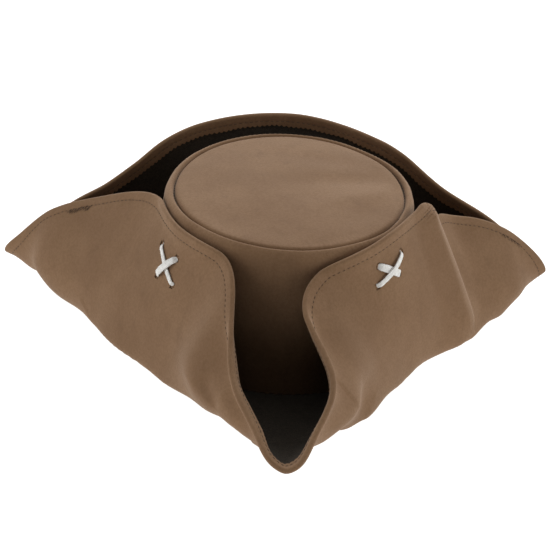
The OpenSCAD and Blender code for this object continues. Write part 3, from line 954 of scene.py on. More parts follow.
@dataclass(frozen=True)
class SuedeFinish:
    """Brown microfibre suede with a short brushed nap."""
    name: str = "brown faux suede"
    base: tuple = colour(125, 96, 70)
    light: tuple = colour(141, 111, 83)
    dark: tuple = colour(105, 79, 57)

    def make(self, nap: bpy.types.NodeTree) -> bpy.types.Material:
        """Makes the material.

        Args:
            nap: the node group of the brushed nap.

        Returns:
            The material.
        """
        surface = Surface(self.name, Specular_IOR_Level=0.18, Sheen_Weight=0.28,
                          Sheen_Roughness=0.42, Sheen_Tint=colour(225, 208, 190))
        g = surface.graph
        cloth = g.add("Group", {"node_tree": nap}, Colour=self.base, Light=self.light,
                      Dark=self.dark)
        bump = g.add("Bump", Strength=0.32, Distance=0.0006, Height=cloth.outputs["Height"])
        return surface.fed(Base_Color=cloth.outputs["Colour"], Roughness=cloth.outputs["Roughness"],
                           Normal=bump.outputs[0])


@dataclass(frozen=True)
class FeltFinish:
    """Matte pressed felt, or any fuzzy cloth of one dark colour."""
    name: str = "black felt"
    base: tuple = colour(66, 58, 49)
    dark: tuple = colour(42, 37, 31)
    sheen: float = 0.05

    def make(self) -> bpy.types.Material:
        """Returns the material."""
        surface = Surface(self.name, Roughness=0.97, Specular_IOR_Level=0.08,
                          Sheen_Weight=self.sheen, Sheen_Roughness=0.6)
        g = surface.graph
        place = g.add("TexCoord").outputs["Object"]
        fibres = g.add("TexNoise", Vector=place, Scale=900.0, Detail=4.0, Roughness=0.7,
                       Distortion=1.5).outputs[0]
        clumps = g.noise(place, 160, 3.0, 0.6)
        tone = g.blend(g.ramp(fibres, ((0.35, 0.0), (0.65, 1.0))), self.dark, self.base)
        tone = g.blend(g.ramp(clumps, ((0.4, 0.0), (0.7, 0.35))), tone, self.dark)
        height = g.math("ADD", fibres, g.math("MULTIPLY", clumps, 0.5))
        bump = g.add("Bump", Strength=0.5, Distance=0.0005, Height=height)
        return surface.fed(Base_Color=tone, Normal=bump.outputs[0])


@dataclass(frozen=True)
class WovenFinish:
    """A plain-woven cloth: lining, buckram, grosgrain or cotton tape.

    Attributes:
        pitch: distance from yarn to yarn, in millimetres.
        gap: share of the weave left open between yarns.
        skew: slant of the crossing yarns.
        depth: strength of the weave's relief.
    """
    name: str
    base: tuple
    dark: tuple
    pitch: float
    gap: float
    roughness: float
    sheen: float = 0.0
    skew: float = 0.0
    depth: float = 0.5

    def make(self, weave: bpy.types.NodeTree) -> bpy.types.Material:
        """Makes the material.

        Args:
            weave: the node group of the plain weave.

        Returns:
            The material.
        """
        surface = Surface(self.name, Roughness=self.roughness, Specular_IOR_Level=0.25,
                          Sheen_Weight=self.sheen)
        g = surface.graph
        cloth = g.add("Group", {"node_tree": weave}, Pitch=self.pitch, Gap=self.gap, Skew=self.skew)
        place = g.add("TexCoord").outputs["Object"]
        slubs = g.noise(place, 420, 3.0, 0.6)
        tone = g.blend(g.ramp(slubs, ((0.3, 0.0), (0.7, 0.45))), self.base, self.dark)
        tone = g.blend(g.math("MULTIPLY", cloth.outputs["Gaps"], 0.75), tone, self.dark)
        height = g.math("ADD", cloth.outputs["Height"], g.math("MULTIPLY", slubs, 0.5))
        bump = g.add("Bump", Strength=self.depth, Distance=0.0004, Height=height)
        return surface.fed(Base_Color=tone, Normal=bump.outputs[0])


@dataclass(frozen=True)
class ThreadFinish:
    """Twisted sewing thread."""
    name: str
    base: tuple
    dark: tuple
    twist: float = 1.1

    def make(self) -> bpy.types.Material:
        """Returns the material."""
        surface = Surface(self.name, Roughness=0.62, Specular_IOR_Level=0.3)
        g = surface.graph
        cloth = g.add("Attribute", {"attribute_name": "cloth_mm"}).outputs["Vector"]
        xyz = g.add("SeparateXYZ", Vector=cloth)
        slant = g.math("ADD", xyz.outputs[0], g.math("MULTIPLY", xyz.outputs[1], 1.6))
        turns = g.math("MULTIPLY", slant, math.pi * self.twist * 2)
        ply = g.math("ABSOLUTE", g.math("SINE", turns))
        tone = g.blend(ply, self.dark, self.base)
        bump = g.add("Bump", Strength=0.5, Distance=0.0002, Height=ply)
        return surface.fed(Base_Color=tone, Normal=bump.outputs[0])


class Finish(Enum):
    """The record's material slots."""
    SUEDE = "suede"
    FELT = "felt"
    BUCKRAM = "buckram"
    LINING = "lining"
    SWEATBAND = "sweatband"
    THREAD = "thread"
    BAND_THREAD = "band_thread"
    LACE = "lace"


class Finishes:
    """Every material of the hat, by slot."""

    def __init__(self) -> None:
        """Makes the materials."""
        nap, weave = nap_group(), weave_group()
        self.by_slot = {
            Finish.SUEDE: SuedeFinish().make(nap),
            Finish.FELT: FeltFinish().make(),
            Finish.BUCKRAM: WovenFinish("buckram", colour(207, 198, 180), colour(120, 108, 88),
                                        1.2, 0.3, 0.85, depth=0.8).make(weave),
            Finish.LINING: WovenFinish("dark lining", colour(46, 40, 36), colour(24, 20, 18),
                                       0.45, 0.12, 0.6, sheen=0.15).make(weave),
            Finish.SWEATBAND: WovenFinish("black grosgrain", colour(24, 21, 19), colour(9, 8, 7),
                                          0.9, 0.22, 0.7, depth=0.7).make(weave),
            Finish.THREAD: ThreadFinish("dark brown thread", colour(88, 68, 51),
                                        colour(48, 36, 27)).make(),
            Finish.BAND_THREAD: ThreadFinish("near-black thread", colour(52, 45, 40),
                                             colour(26, 22, 19)).make(),
            Finish.LACE: WovenFinish("white cotton lace", colour(250, 249, 245),
                                     colour(205, 200, 190), 0.55, 0.16, 0.9, sheen=0.2, skew=0.6, depth=0.6).make(weave),
        }

    def of(self, slot: Finish) -> bpy.types.Material:
        """Returns the slot's material."""
        return self.by_slot[slot]


# ---------------------------------------------------------------- the brim's layers and hem

@dataclass(frozen=True)
class HemSizes:
    """The turned-over hem and its seam.

    Attributes:
        groove_at: how far in from the edge the seam runs.
        groove: how deep the seam pulls the suede in.
        scallop: length of one scallop of the cut edge.
        bite: depth of the scallops.
        swell: how much plumper than half round the turned edge is.
        edge_rings: sections of the hem for each section of the brim.
        roll_points: points across the turned edge.
    """
    groove_at: float = 5.0
    groove: float = 0.12
    scallop: float = 3.5
    bite: float = 1.25
    swell: float = 1.04
    edge_rings: int = 3
    roll_points: int = 11


HOLES = {
    "lace_left": ((20.93, 0.62), (21.2, 0.77), (20.8, 0.79), (21.31, 0.62)),
    "lace_right": ((3.6, 0.74), (4.26, 0.89), (3.72, 0.86), (4.1, 0.76)),
    "lace_back": ((12.7, 0.62), (13.25, 0.8), (12.78, 0.78), (13.2, 0.61)),
}
HOLE_RADIUS = 1.95


class BrimCloth:
    """The brim's suede with its hem, the buckram inside it and the felt that faces it."""

    def __init__(self, sizes: HatSizes, hem: HemSizes, brim: Brim, finishes: Finishes) -> None:
        """Keeps what the brim's layers are made from."""
        self.sizes, self.hem, self.brim, self.finishes = sizes, hem, brim, finishes
        self.back = np.maximum(0, brim.run[:, None] - self._runs())

    def _runs(self) -> np.ndarray:
        """Returns each grid place's way from the foot."""
        b = self.brim
        last = b.run[:, None]
        plain = last - b.EDGE
        return np.concatenate([np.arange(b.plain_rows)[None] / b.plain_rows * plain,
                               last - np.array(b.EDGE_ROWS)[None]], 1)

    def _cloth(self) -> np.ndarray:
        """Returns each grid place's (along, across, 0)."""
        b = self.brim
        along = np.broadcast_to(b.edge_run[:-1, None], self.back.shape)
        return np.stack([along, self.back, np.zeros(self.back.shape)], -1)

    def hole_places(self) -> list[np.ndarray]:
        """Returns where the lace holes go through the suede's outer face."""
        s = self.sizes
        return [self.brim.at(u, self.brim.at_height(u, h * s.crown_h), s.suede_out)
                for holes in HOLES.values() for u, h in holes]

    def _outer(self) -> tuple[np.ndarray, np.ndarray]:
        """Returns the suede's outer face with its seam's groove, and which points lie in a hole."""
        s, hem = self.sizes, self.hem
        way = self.back - hem.groove_at
        along = self.brim.edge_run[:-1, None]
        pinch = 0.75 + 0.25 * np.cos(2 * math.pi * along / HEM_PITCH)
        out = s.suede_out - hem.groove * np.exp(-(way / 0.75) ** 2) * pinch
        out = out + 0.1 * np.exp(-((self.back - 2.3) / 1.9) ** 2)
        points = self.brim.grid + self.brim.out * out[..., None]
        skip = np.zeros(points.shape[:2], bool)
        for centre in self.hole_places():
            away = points - centre
            far = np.linalg.norm(away, axis=-1)
            skip |= far < HOLE_RADIUS * 0.72
            rim = (far >= HOLE_RADIUS * 0.72) & (far < HOLE_RADIUS * 1.45)
            points[rim] = centre + away[rim] * (HOLE_RADIUS / far[rim])[:, None] * np.maximum(
                1, far[rim] / HOLE_RADIUS)[:, None]
            dip = 0.35 * np.exp(-(far / 3.0) ** 2)
            points -= self.brim.out * dip[..., None] * (~skip)[..., None]
        return points, skip

    def _hem(self, patches: Patchwork, outer_edge: np.ndarray) -> None:
        """Adds the turned edge and the hem on the inner face, on finer rings than the rest.

        Args:
            patches: the mesh they go into.
            outer_edge: the last row of the outer face.
        """
        s, hem, b = self.sizes, self.hem, self.brim
        n = b.rings * hem.edge_rings
        x = np.arange(n) / hem.edge_rings
        spread = lambda row: self._between(row, x)
        edge, out, way = spread(b.grid[:, -1]), unit(spread(b.out[:, -1])), unit(spread(b.edge_dir))
        start = spread(outer_edge)
        run = np.interp(x, np.arange(b.rings + 1), b.edge_run)
        middle = (s.suede_out + s.hem_in) / 2
        radius = (s.suede_out - s.hem_in) / 2
        angle = np.radians(np.linspace(78, -90, hem.roll_points))
        plump = radius * (1 + (hem.swell - 1) * np.cos(angle))
        roll = (edge[:, None] + out[:, None] * (middle + plump * np.sin(angle))[None, :, None]
                + way[:, None] * (plump * np.cos(angle))[None, :, None])
        turns = run[-1] + (run[1] - run[0])
        count = round(turns / hem.scallop)
        scallop = np.abs(np.sin(math.pi * count * run / turns))
        reach = s.hem_w - hem.bite + hem.bite * scallop
        turn = 2 * math.pi * run / turns
        reach = reach + 0.35 * np.sin(turn * 23) + 0.25 * np.sin(turn * 51)
        shares = np.array([0.0, 0.12, 0.24, 0.34, 0.42, 0.47, 0.52, 0.58, 0.68, 0.8, 0.9, 0.96,
                           1.0])
        inner = np.zeros((n, len(shares), 3))
        for k, share in enumerate(shares):
            back = reach * share
            sag = 0.25 * math.exp(-((share - 0.47) / 0.06) ** 2)
            sag -= 0.3 * (1 - abs(2 * share - 1)) * 0.3
            inner[:, k] = self._inner(x, back) + unit(self._inner_out(x, back)) * (s.hem_in + sag)
        lip = self._inner(x, reach + 0.15) + self._inner_out(x, reach) * (s.hem_in + s.suede * 0.5)
        under = self._inner(x, reach - 0.1) + self._inner_out(x, reach) * s.hem_out
        points = np.concatenate([start[:, None], roll, inner[:, 1:], lip[:, None],
                                 under[:, None]], 1)
        across = np.concatenate([[0], -np.cumsum(np.full(points.shape[1] - 1, 0.8))])
        cloth = np.stack(np.broadcast_arrays(run[:, None], across[None], 0.0), -1)
        patches.grid(points, closed=True, cloth=cloth)

    def _between(self, row: np.ndarray, x: np.ndarray) -> np.ndarray:
        """Reads a closed row of vectors between its rings.

        Args:
            row: the vectors.
            x: where to read, in rings.

        Returns:
            The vectors there.
        """
        i = np.floor(x).astype(int)
        f = (x - i)[:, None]
        return mix(row[i % len(row)], row[(i + 1) % len(row)], f)

    def _read(self, field: np.ndarray, x: np.ndarray, back: np.ndarray) -> np.ndarray:
        """Reads a grid field between its rings.

        Args:
            field: the field.
            x: where to read, in rings.
            back: how far back from the edge.

        Returns:
            The field there.
        """
        rows = np.array(self.brim.EDGE_ROWS)[::-1]
        spots = np.interp(back, rows, np.arange(len(rows))[::-1] + self.brim.plain_rows)
        j = np.minimum(np.floor(spots).astype(int), field.shape[1] - 2)
        g = (spots - j)[:, None]
        i = np.floor(x).astype(int) % self.brim.rings
        k = (i + 1) % self.brim.rings
        f = (x - np.floor(x))[:, None]
        return mix(mix(field[i, j], field[i, j + 1], g), mix(field[k, j], field[k, j + 1], g), f)

    def _inner(self, x: np.ndarray, back: np.ndarray) -> np.ndarray:
        """Returns the brim's middle face, a way back from the edge."""
        return self._read(self.brim.grid, x, np.broadcast_to(back, x.shape))

    def _inner_out(self, x: np.ndarray, back: np.ndarray) -> np.ndarray:
        """Returns the outward directions, a way back from the edge."""
        return unit(self._read(self.brim.out, x, np.broadcast_to(back, x.shape)))

    def suede(self) -> bpy.types.Object:
        """Returns the suede: outer face, turned edge, hem and the hidden inner face."""
        s = self.sizes
        patches = Patchwork()
        outer, skip = self._outer()
        patches.grid(outer, closed=True, cloth=self._cloth(), skip=skip)
        self._hem(patches, outer[:, -1])
        rows = np.r_[0:self.brim.plain_rows:4, self.brim.plain_rows:outer.shape[1] - 1:5]
        inner = self.brim.face(s.suede_in)[:, rows[::-1]]
        patches.grid(np.concatenate([inner, outer[:, :1]], 1), closed=True)
        holes = [hole for lace in HOLES.values() for hole in lace]
        for centre, (u, h) in zip(self.hole_places(), holes):
            out = self.brim.out_at(u, self.brim.at_height(u, h * s.crown_h))
            side = unit(np.cross(out, [0.0, 0.0, 1.0]))
            up = np.cross(side, out)
            angle = np.linspace(0, 2 * math.pi, 25)[:-1]
            ring = side[None] * np.cos(angle)[:, None] + up[None] * np.sin(angle)[:, None]
            depth = np.array([-0.25, -0.9, -2.6])
            wall = centre + ring[:, None] * HOLE_RADIUS * 1.02 + out * depth[None, :, None]
            patches.grid(wall, closed=True)
        obj = settle(patches.build("brim_suede", self.finishes.of(Finish.SUEDE)), "suede",
                     "brim_under")
        return obj

    def _layer(self, name: str, slot: Finish, out: float, inner: float, back: float,
               node: str) -> bpy.types.Object:
        """Makes one plain layer of the brim between two faces.

        Args:
            name: the piece's name.
            slot: its finish.
            out: its outer face.
            inner: its inner face.
            back: how far back from the edge it begins.
            node: the solid it stands for.

        Returns:
            The layer.
        """
        brim = self.brim
        rows = np.flatnonzero(np.append(np.full(brim.plain_rows, back), brim.EDGE_ROWS) >= back)
        keep = rows[:-1:2] if slot is Finish.BUCKRAM else rows
        holes = self.hole_places()
        patches = Patchwork()
        for offset, order in ((out, 1), (inner, -1)):
            points = self.brim.face(offset)[:, keep][:, ::order]
            cloth = self._cloth()[:, keep][:, ::order]
            skip = np.zeros(points.shape[:2], bool)
            for centre in holes:
                skip |= np.linalg.norm(points - centre, axis=-1) < HOLE_RADIUS + 1.4
            patches.grid(points, closed=True, cloth=cloth, skip=skip)
        for k in (0, -1):
            ends = np.stack([self.brim.face(inner)[:, keep[k]], self.brim.face(out)[:, keep[k]]], 1)
            patches.grid(ends if k == 0 else ends[:, ::-1], closed=True)
        obj = settle(patches.build(name, self.finishes.of(slot)), slot.value, node)
        return obj

    def buckram(self) -> bpy.types.Object:
        """Returns the stiffener inside the brim."""
        s = self.sizes
        return self._layer("brim_buckram", Finish.BUCKRAM, s.stiff_out, s.stiff_in, 1.4,
                           "brim_stiffener")

    def felt(self) -> bpy.types.Object:
        """Returns the felt that faces the brim's upper side."""
        s = self.sizes
        return self._layer("brim_felt", Finish.FELT, s.felt_out, s.felt_in, 1.4, "brim_upper")


# ---------------------------------------------------------------- stitches

class StitchMaker:
    """Makes rows of stitches, each a short arch of thread that dips into the cloth at its ends."""

    def __init__(self, thread: float = 0.27, seed: int = 11) -> None:
        """Sets the thread's radius and the order of its unevenness."""
        self.thread = thread
        self.rng = np.random.default_rng(seed)

    def add(self, patches: Patchwork, a: np.ndarray, b: np.ndarray, out: np.ndarray,
            rise: float = 0.18, loose: float = 0.05) -> None:
        """Adds one stitch between two places.

        Args:
            patches: the mesh it goes into.
            a, b: its ends, on the cloth.
            out: the direction away from the cloth.
            rise: how high its middle stands.
            loose: how much stitches differ.
        """
        t = np.array([0.0, 0.12, 0.35, 0.65, 0.88, 1.0])
        lift = np.array([-0.35, 0.02, 1.0, 1.0, 0.02, -0.35]) * rise
        off = self.rng.normal(0, loose, 3)
        path = mix(a + off, b + off * 0.4, t[:, None]) + out * lift[:, None]
        radius = self.thread * np.array([0.55, 0.9, 1.0, 1.0, 0.9, 0.55])
        patches.tube(path, radius, sides=6)

    @staticmethod
    def round_pairs(sizes: HatSizes, count: int, share: float, inset: float,
                    z: float) -> Iterator[tuple[np.ndarray, np.ndarray]]:
        """Gives both ends of each stitch of an oval row.

        Args:
            sizes: the hat's sizes.
            count: stitches in the row.
            share: share of its pitch that a stitch covers.
            inset: how far in from the foot's oval the row lies.
            z: its height.
        """
        for k in range(count):
            yield tuple(sizes.oval(360 * (k + f) / count, inset, z) for f in (0, share))


class BrimSeams:
    """The hem's seam on both faces, its two back-tacks and the seam that joins brim and crown."""

    def __init__(self, sizes: HatSizes, hem: HemSizes, brim: Brim, finishes: Finishes) -> None:
        """Keeps what the seams are sewn on, and their two threads."""
        self.sizes, self.hem, self.brim, self.finishes = sizes, hem, brim, finishes
        self.maker = StitchMaker(0.22)
        self.fine = StitchMaker(0.14)

    def hem_seam(self) -> bpy.types.Object:
        """Returns the seam along the hem, outside and inside."""
        s, b = self.sizes, self.brim
        patches = Patchwork()
        count = round(b.edge_run[-1] / HEM_PITCH)
        pitch = b.edge_run[-1] / count
        for k in range(count):
            for out, share, away in ((s.suede_out - 0.05, 0.52, 1), (s.hem_in + 0.1, 0.58, -1)):
                ends = []
                for run in (k * pitch, (k + share) * pitch):
                    u = b.station_at_run(run)
                    at = self.hem.groove_at if away > 0 else s.hem_w * 0.47
                    ends.append((u, b.from_edge(u, at)))
                a, c = (b.at(u, v, out) for u, v in ends)
                rise = 0.14 if away > 0 else 0.12
                self.maker.add(patches, a, c, b.out_at(*ends[0]) * away, rise=rise)
        return settle(patches.build("hem_seam", self.finishes.of(Finish.THREAD)), "thread",
                      "hem_stitching")

    def tack(self, name: str, node: str, u0: float, u1: float, strokes: int) -> bpy.types.Object:
        """Sews one back-tack, a zigzag of thread over the seam's start or end.

        Args:
            name: the piece's name.
            node: the solid it stands for.
            u0: where it starts, in stations.
            u1: where it ends.
            strokes: how many strokes it has.

        Returns:
            The tack.
        """
        b = self.brim
        patches = Patchwork()
        out = self.sizes.suede_out + 0.1
        rng = np.random.default_rng(strokes)
        for k in range(strokes):
            u = mix(u0, u1, k / (strokes - 1))
            low, high = 4.4 + rng.uniform(-0.4, 0.6), 7.6 + rng.uniform(-0.8, 0.8)
            lean = (u1 - u0) * 0.16
            spots = [(u, b.from_edge(u, high)), (u + lean, b.from_edge(u + lean, low))]
            a, c = (b.at(*spot, out) for spot in spots)
            self.fine.add(patches, a, c, b.out_at(*spots[0]), rise=0.14, loose=0.2)
            if k < strokes - 1:
                spot = (mix(u0, u1, (k + 1) / (strokes - 1)), spots[0][1])
                self.fine.add(patches, c, b.at(*spot, out), b.out_at(*spots[0]), rise=0.1,
                              loose=0.2)
        return settle(patches.build(name, self.finishes.of(Finish.THREAD)), "thread", node)

    def joint(self) -> bpy.types.Object:
        """Returns the seam that joins the brim to the crown's foot."""
        s = self.sizes
        patches = Patchwork()
        z = s.brim_z - s.felt_in + 0.75
        for a, c in StitchMaker.round_pairs(s, 99, 0.62, -0.55, z):
            self.maker.add(patches, a, c, unit(np.array([a[0], a[1], 60.0])), rise=0.12)
        return settle(patches.build("joint_seam", self.finishes.of(Finish.THREAD)), "thread",
                      "brim_joint_stitching")


# ---------------------------------------------------------------- the crown

class Crown:
    """The side band, the tip panel, their buckram and the seams between them.

    Attributes:
        DENTS: the tip panel's dents, each (x, y, degrees, length, width, height).
    """

    DENTS = ((38, 18, 20, 34, 11, -1.5), (46, -8, 35, 30, 10, 1.0), (24, 46, -10, 36, 13, -1.0),
             (-34, -34, 15, 30, 18, 0.7), (52, -34, 60, 22, 10, -0.8))

    def __init__(self, sizes: HatSizes, finishes: Finishes, around: int = 480) -> None:
        """Keeps the hat's sizes, its finishes and the crown's sections."""
        self.sizes, self.finishes, self.around = sizes, finishes, around
        self.angles = np.arange(around) * 360 / around
        self.maker = StitchMaker(seed=23)

    def revolve(self, outline: np.ndarray,
                bumps: Waves | None = None) -> tuple[np.ndarray, np.ndarray]:
        """Lays oval rings through an outline of (inset, height).

        Args:
            outline: the section's points.
            bumps: gives how far each place moves outwards and up, (out, up), or None.

        Returns:
            The rings and their cloth places.
        """
        outline = np.asarray(outline, float)
        rings = self.sizes.oval(self.angles[:, None], outline[None, :, 0], outline[None, :, 1])
        steps = np.linalg.norm(np.diff(outline, axis=0), axis=1)
        run = np.concatenate([[0], np.cumsum(steps)])
        along = self.angles[:, None] / 360 * SUEDE_ROUND
        cloth = np.stack(np.broadcast_arrays(along, run[None], 0.0), -1)
        if bumps is not None:
            out, up = bumps(rings)
            flat = unit(rings * [1.0, 1.0, 0.0])
            rings = rings + flat * out[..., None] + np.array([0, 0, 1.0]) * up[..., None]
        return rings, cloth

    def shell(self, name: str, slot: Finish, outline: Sequence, node: str,
              bumps: Waves | None = None) -> bpy.types.Object:
        """Makes a closed ring of cloth.

        Args:
            name: the piece's name.
            slot: its finish.
            outline: its closed outline.
            node: the solid it stands for.
            bumps: its unevenness, or None.

        Returns:
            The ring.
        """
        patches = Patchwork()
        rings, cloth = self.revolve(np.array(outline)[::-1], bumps)
        patches.grid(rings, closed=True, closed_across=True, cloth=cloth)
        return settle(patches.build(name, self.finishes.of(slot)), slot.value, node)

    def dish(self, name: str, slot: Finish, upper: np.ndarray, lower: np.ndarray, node: str,
             bumps: Waves | None = None) -> bpy.types.Object:
        """Makes an oval panel.

        Args:
            name: the piece's name.
            slot: its finish.
            upper: its upper outline, rim to middle.
            lower: its lower outline, rim to middle.
            node: the solid it stands for.
            bumps: its unevenness, or None.

        Returns:
            The panel.
        """
        patches = Patchwork()
        rings, _ = self.revolve(np.concatenate([lower[::-1], upper]), bumps)
        cloth = np.stack([rings[..., 0], rings[..., 1], np.zeros(rings.shape[:2])], -1)
        patches.grid(rings[:, ::-1], closed=True, cloth=cloth[:, ::-1])
        return settle(patches.build(name, self.finishes.of(slot)), slot.value, node)

    def _side_waves(self, p: np.ndarray) -> tuple[np.ndarray, np.ndarray]:
        """Gives the side band's soft unevenness and the pinch of the tip seam.

        Args:
            p: places on the band.

        Returns:
            How far each place moves outwards and up.
        """
        s = self.sizes
        high = smooth((p[..., 2] - 20) / 40)
        a = np.arctan2(p[..., 1], p[..., 0])
        pinch = smooth((p[..., 2] - 96) / 3) * 0.1 * np.cos(a * TIP_STITCH_WAVES)
        out = high * (0.45 * ripple(p, 70, 31) + 0.12 * ripple(p, 16, 37)) + pinch * 0.5
        up = smooth((p[..., 2] - 88) / 8) * (0.4 * ripple(p, 75, 41)) + pinch
        back_in, lift = self._settled(p)
        return out + back_in, up + lift

    def _settled(self, p: np.ndarray) -> tuple[np.ndarray, np.ndarray]:
        """Gives how the worn crown's front has sunk back and risen.

        Args:
            p: places on the crown.

        Returns:
            How far each place moves outwards and up.
        """
        front = np.clip(-p[..., 1] / self.sizes.foot[1], 0, 1) ** 2
        high = smooth((p[..., 2] - 45) / 55)
        return -2.6 * front * high, 1.3 * front * high

    def side(self) -> bpy.types.Object:
        """Returns the suede side band with its rolled shoulder."""
        s = self.sizes
        z = np.linspace(s.foot_z, s.shoulder_z - 2, 30)
        wall = np.stack([s.lean(z), z], -1)
        start, top, seam = s.crown_lean, s.crown_h, s.seam_in
        roll = flowing([(start + 0.05, s.shoulder_z), (start + 0.5, top - 4.2),
                        (start + 1.5, top - 1.9), (start + 3.0, top - 0.45),
                        (start + 4.3, top - 0.1), (seam - 0.7, top - 0.8),
                        (seam - 0.05, top - 2.0), (seam + 0.3, top - 3.1)], 26)
        inner_wall = wall + [s.suede, 0]
        angle = np.radians(np.linspace(95, 20, 6))
        inner_roll = np.stack([seam - s.suede - (s.shoulder_w - 2 * s.suede) * np.cos(angle),
                               s.shoulder_z + (s.shoulder_h - 2 * s.suede) * np.sin(angle)], -1)
        lip = np.array([(seam + 0.3, top - 4.0), (seam - s.suede + 0.3, top - 4.0)])
        outline = np.concatenate([wall, roll, lip, inner_roll, inner_wall[::-1][1::3]])
        obj = self.shell("crown_side_suede", Finish.SUEDE, outline, "crown_side", self._side_waves)
        return obj

    def _tip_waves(self, p: np.ndarray) -> tuple[np.ndarray, np.ndarray]:
        """Gives the tip panel's dents and soft waves, and the pinch of its seam.

        Args:
            p: places on the panel.

        Returns:
            How far each place moves outwards and up.
        """
        x, y = p[..., 0], p[..., 1]
        fx, fy = self.sizes.foot
        r = np.hypot(x / (fx - self.sizes.seam_in), y / (fy - self.sizes.seam_in))
        free = smooth((1 - r) / 0.25)
        up = free * (0.55 * ripple(p, 85, 51) + 0.2 * ripple(p, 32, 53))
        for cx, cy, turn, long, wide, depth in self.DENTS:
            c, q = math.cos(math.radians(turn)), math.sin(math.radians(turn))
            u, v = (x - cx) * c + (y - cy) * q, -(x - cx) * q + (y - cy) * c
            up += free * depth * np.exp(-(u / long) ** 2 - (v / wide) ** 2)
        a = np.arctan2(y, x)
        rim = smooth((r - 0.85) / 0.15)
        up += rim * (0.1 * np.cos(a * TIP_STITCH_WAVES) + 0.4 * ripple(p, 75, 41))
        back_in, lift = self._settled(p)
        return back_in * smooth(r / 0.6), up + lift

    def _dome(self, share: np.ndarray) -> np.ndarray:
        """Returns the tip panel's height at a share from its middle to its rim."""
        return self.sizes.crown_h + self.sizes.tip_rise * (1 - share ** 2)

    @property
    def tip_edge(self) -> float:
        """Inset of the tip panel's turned-down edge."""
        return self.sizes.seam_in + 0.6 + self.sizes.gap

    def tip(self) -> bpy.types.Object:
        """Returns the suede tip panel, its edge turned down into the seam."""
        s = self.sizes
        reach = min(s.foot) - self.tip_edge
        share = np.linspace(0.93, 0.0, 60)
        top = np.stack([self.tip_edge + (1 - share) * reach, self._dome(share)], -1)
        start, high = self.tip_edge - 0.1, s.crown_h
        edge = flowing([(start, high - 4.0), (start + 0.1, high - 3.0), (start + 0.45, high - 1.9),
                        (start + 1.1, high - 0.8), (start + 2.1, high - 0.05),
                        (start + 3.4, high + 0.3),
                        tuple(top[0])], 26)[:-1]
        upper = np.concatenate([edge, top])
        lower = np.concatenate([edge[:1] + [s.suede, 0],
                                edge[4::4] + [s.suede * 0.6, -s.suede * 0.7],
                                (top - [0, s.suede])[::6], top[-1:] - [0, s.suede]])
        obj = self.dish("crown_tip_suede", Finish.SUEDE, upper, lower, "crown_tip", self._tip_waves)
        return obj

    def buckrams(self) -> list[bpy.types.Object]:
        """Returns the buckram inside the side band and under the tip panel."""
        s = self.sizes
        t = s.suede + s.gap
        z = np.linspace(s.foot_z, s.shoulder_z * 0.97, 14)
        wall = np.stack([s.lean(z) + t + 0.15, z], -1)
        waves = lambda p: tuple(w * 0.9 for w in self._side_waves(p))
        side = self.shell("crown_side_buckram", Finish.BUCKRAM,
                          np.concatenate([wall, wall[::-1] + [s.crown_buckram - 0.15, 0]]),
                          "crown_side_stiffener", waves)
        reach = min(s.foot) - self.tip_edge
        share = np.linspace(0.93, 0.0, 24)
        upper = np.stack([self.tip_edge + (1 - share) * reach, self._dome(share) - t - 0.05], -1)
        tip = self.dish("crown_tip_buckram", Finish.BUCKRAM, upper, upper - [0, s.crown_buckram],
                        "crown_tip_stiffener", self._tip_waves)
        return [side, tip]

    def tip_seam(self) -> bpy.types.Object:
        """Returns the stitches down in the groove of the tip seam."""
        s = self.sizes
        patches = Patchwork()
        for a, c in StitchMaker.round_pairs(s, 145, 0.66, s.seam_in + 0.45, s.crown_h - 2.55):
            out, up = (float(w[0]) for w in self._side_waves((a + c)[None] / 2))
            shift = unit(a * [1, 1, 0]) * out + [0, 0, up]
            self.maker.add(patches, a + shift, c + shift, np.array([0, 0, 1.0]), rise=0.1,
                           loose=0.03)
        return settle(patches.build("tip_seam", self.finishes.of(Finish.THREAD)), "thread",
                      "crown_tip_stitching")

    def back_seam(self) -> bpy.types.Object:
        """Returns the rows of stitches beside the side band's seam at the back."""
        s = self.sizes
        patches = Patchwork()
        for side in (-1.6, 1.6):
            for k in range(19):
                z = s.foot_z + 10 + k * 3.6
                a, c = (s.oval(180 + side, s.lean(h) - 0.15, h) for h in (z, z + 2.4))
                self.maker.add(patches, a, c, np.array([0, 1.0, 0]), rise=0.16)
        return settle(patches.build("back_seam", self.finishes.of(Finish.THREAD)), "thread",
                      "crown_back_stitching")


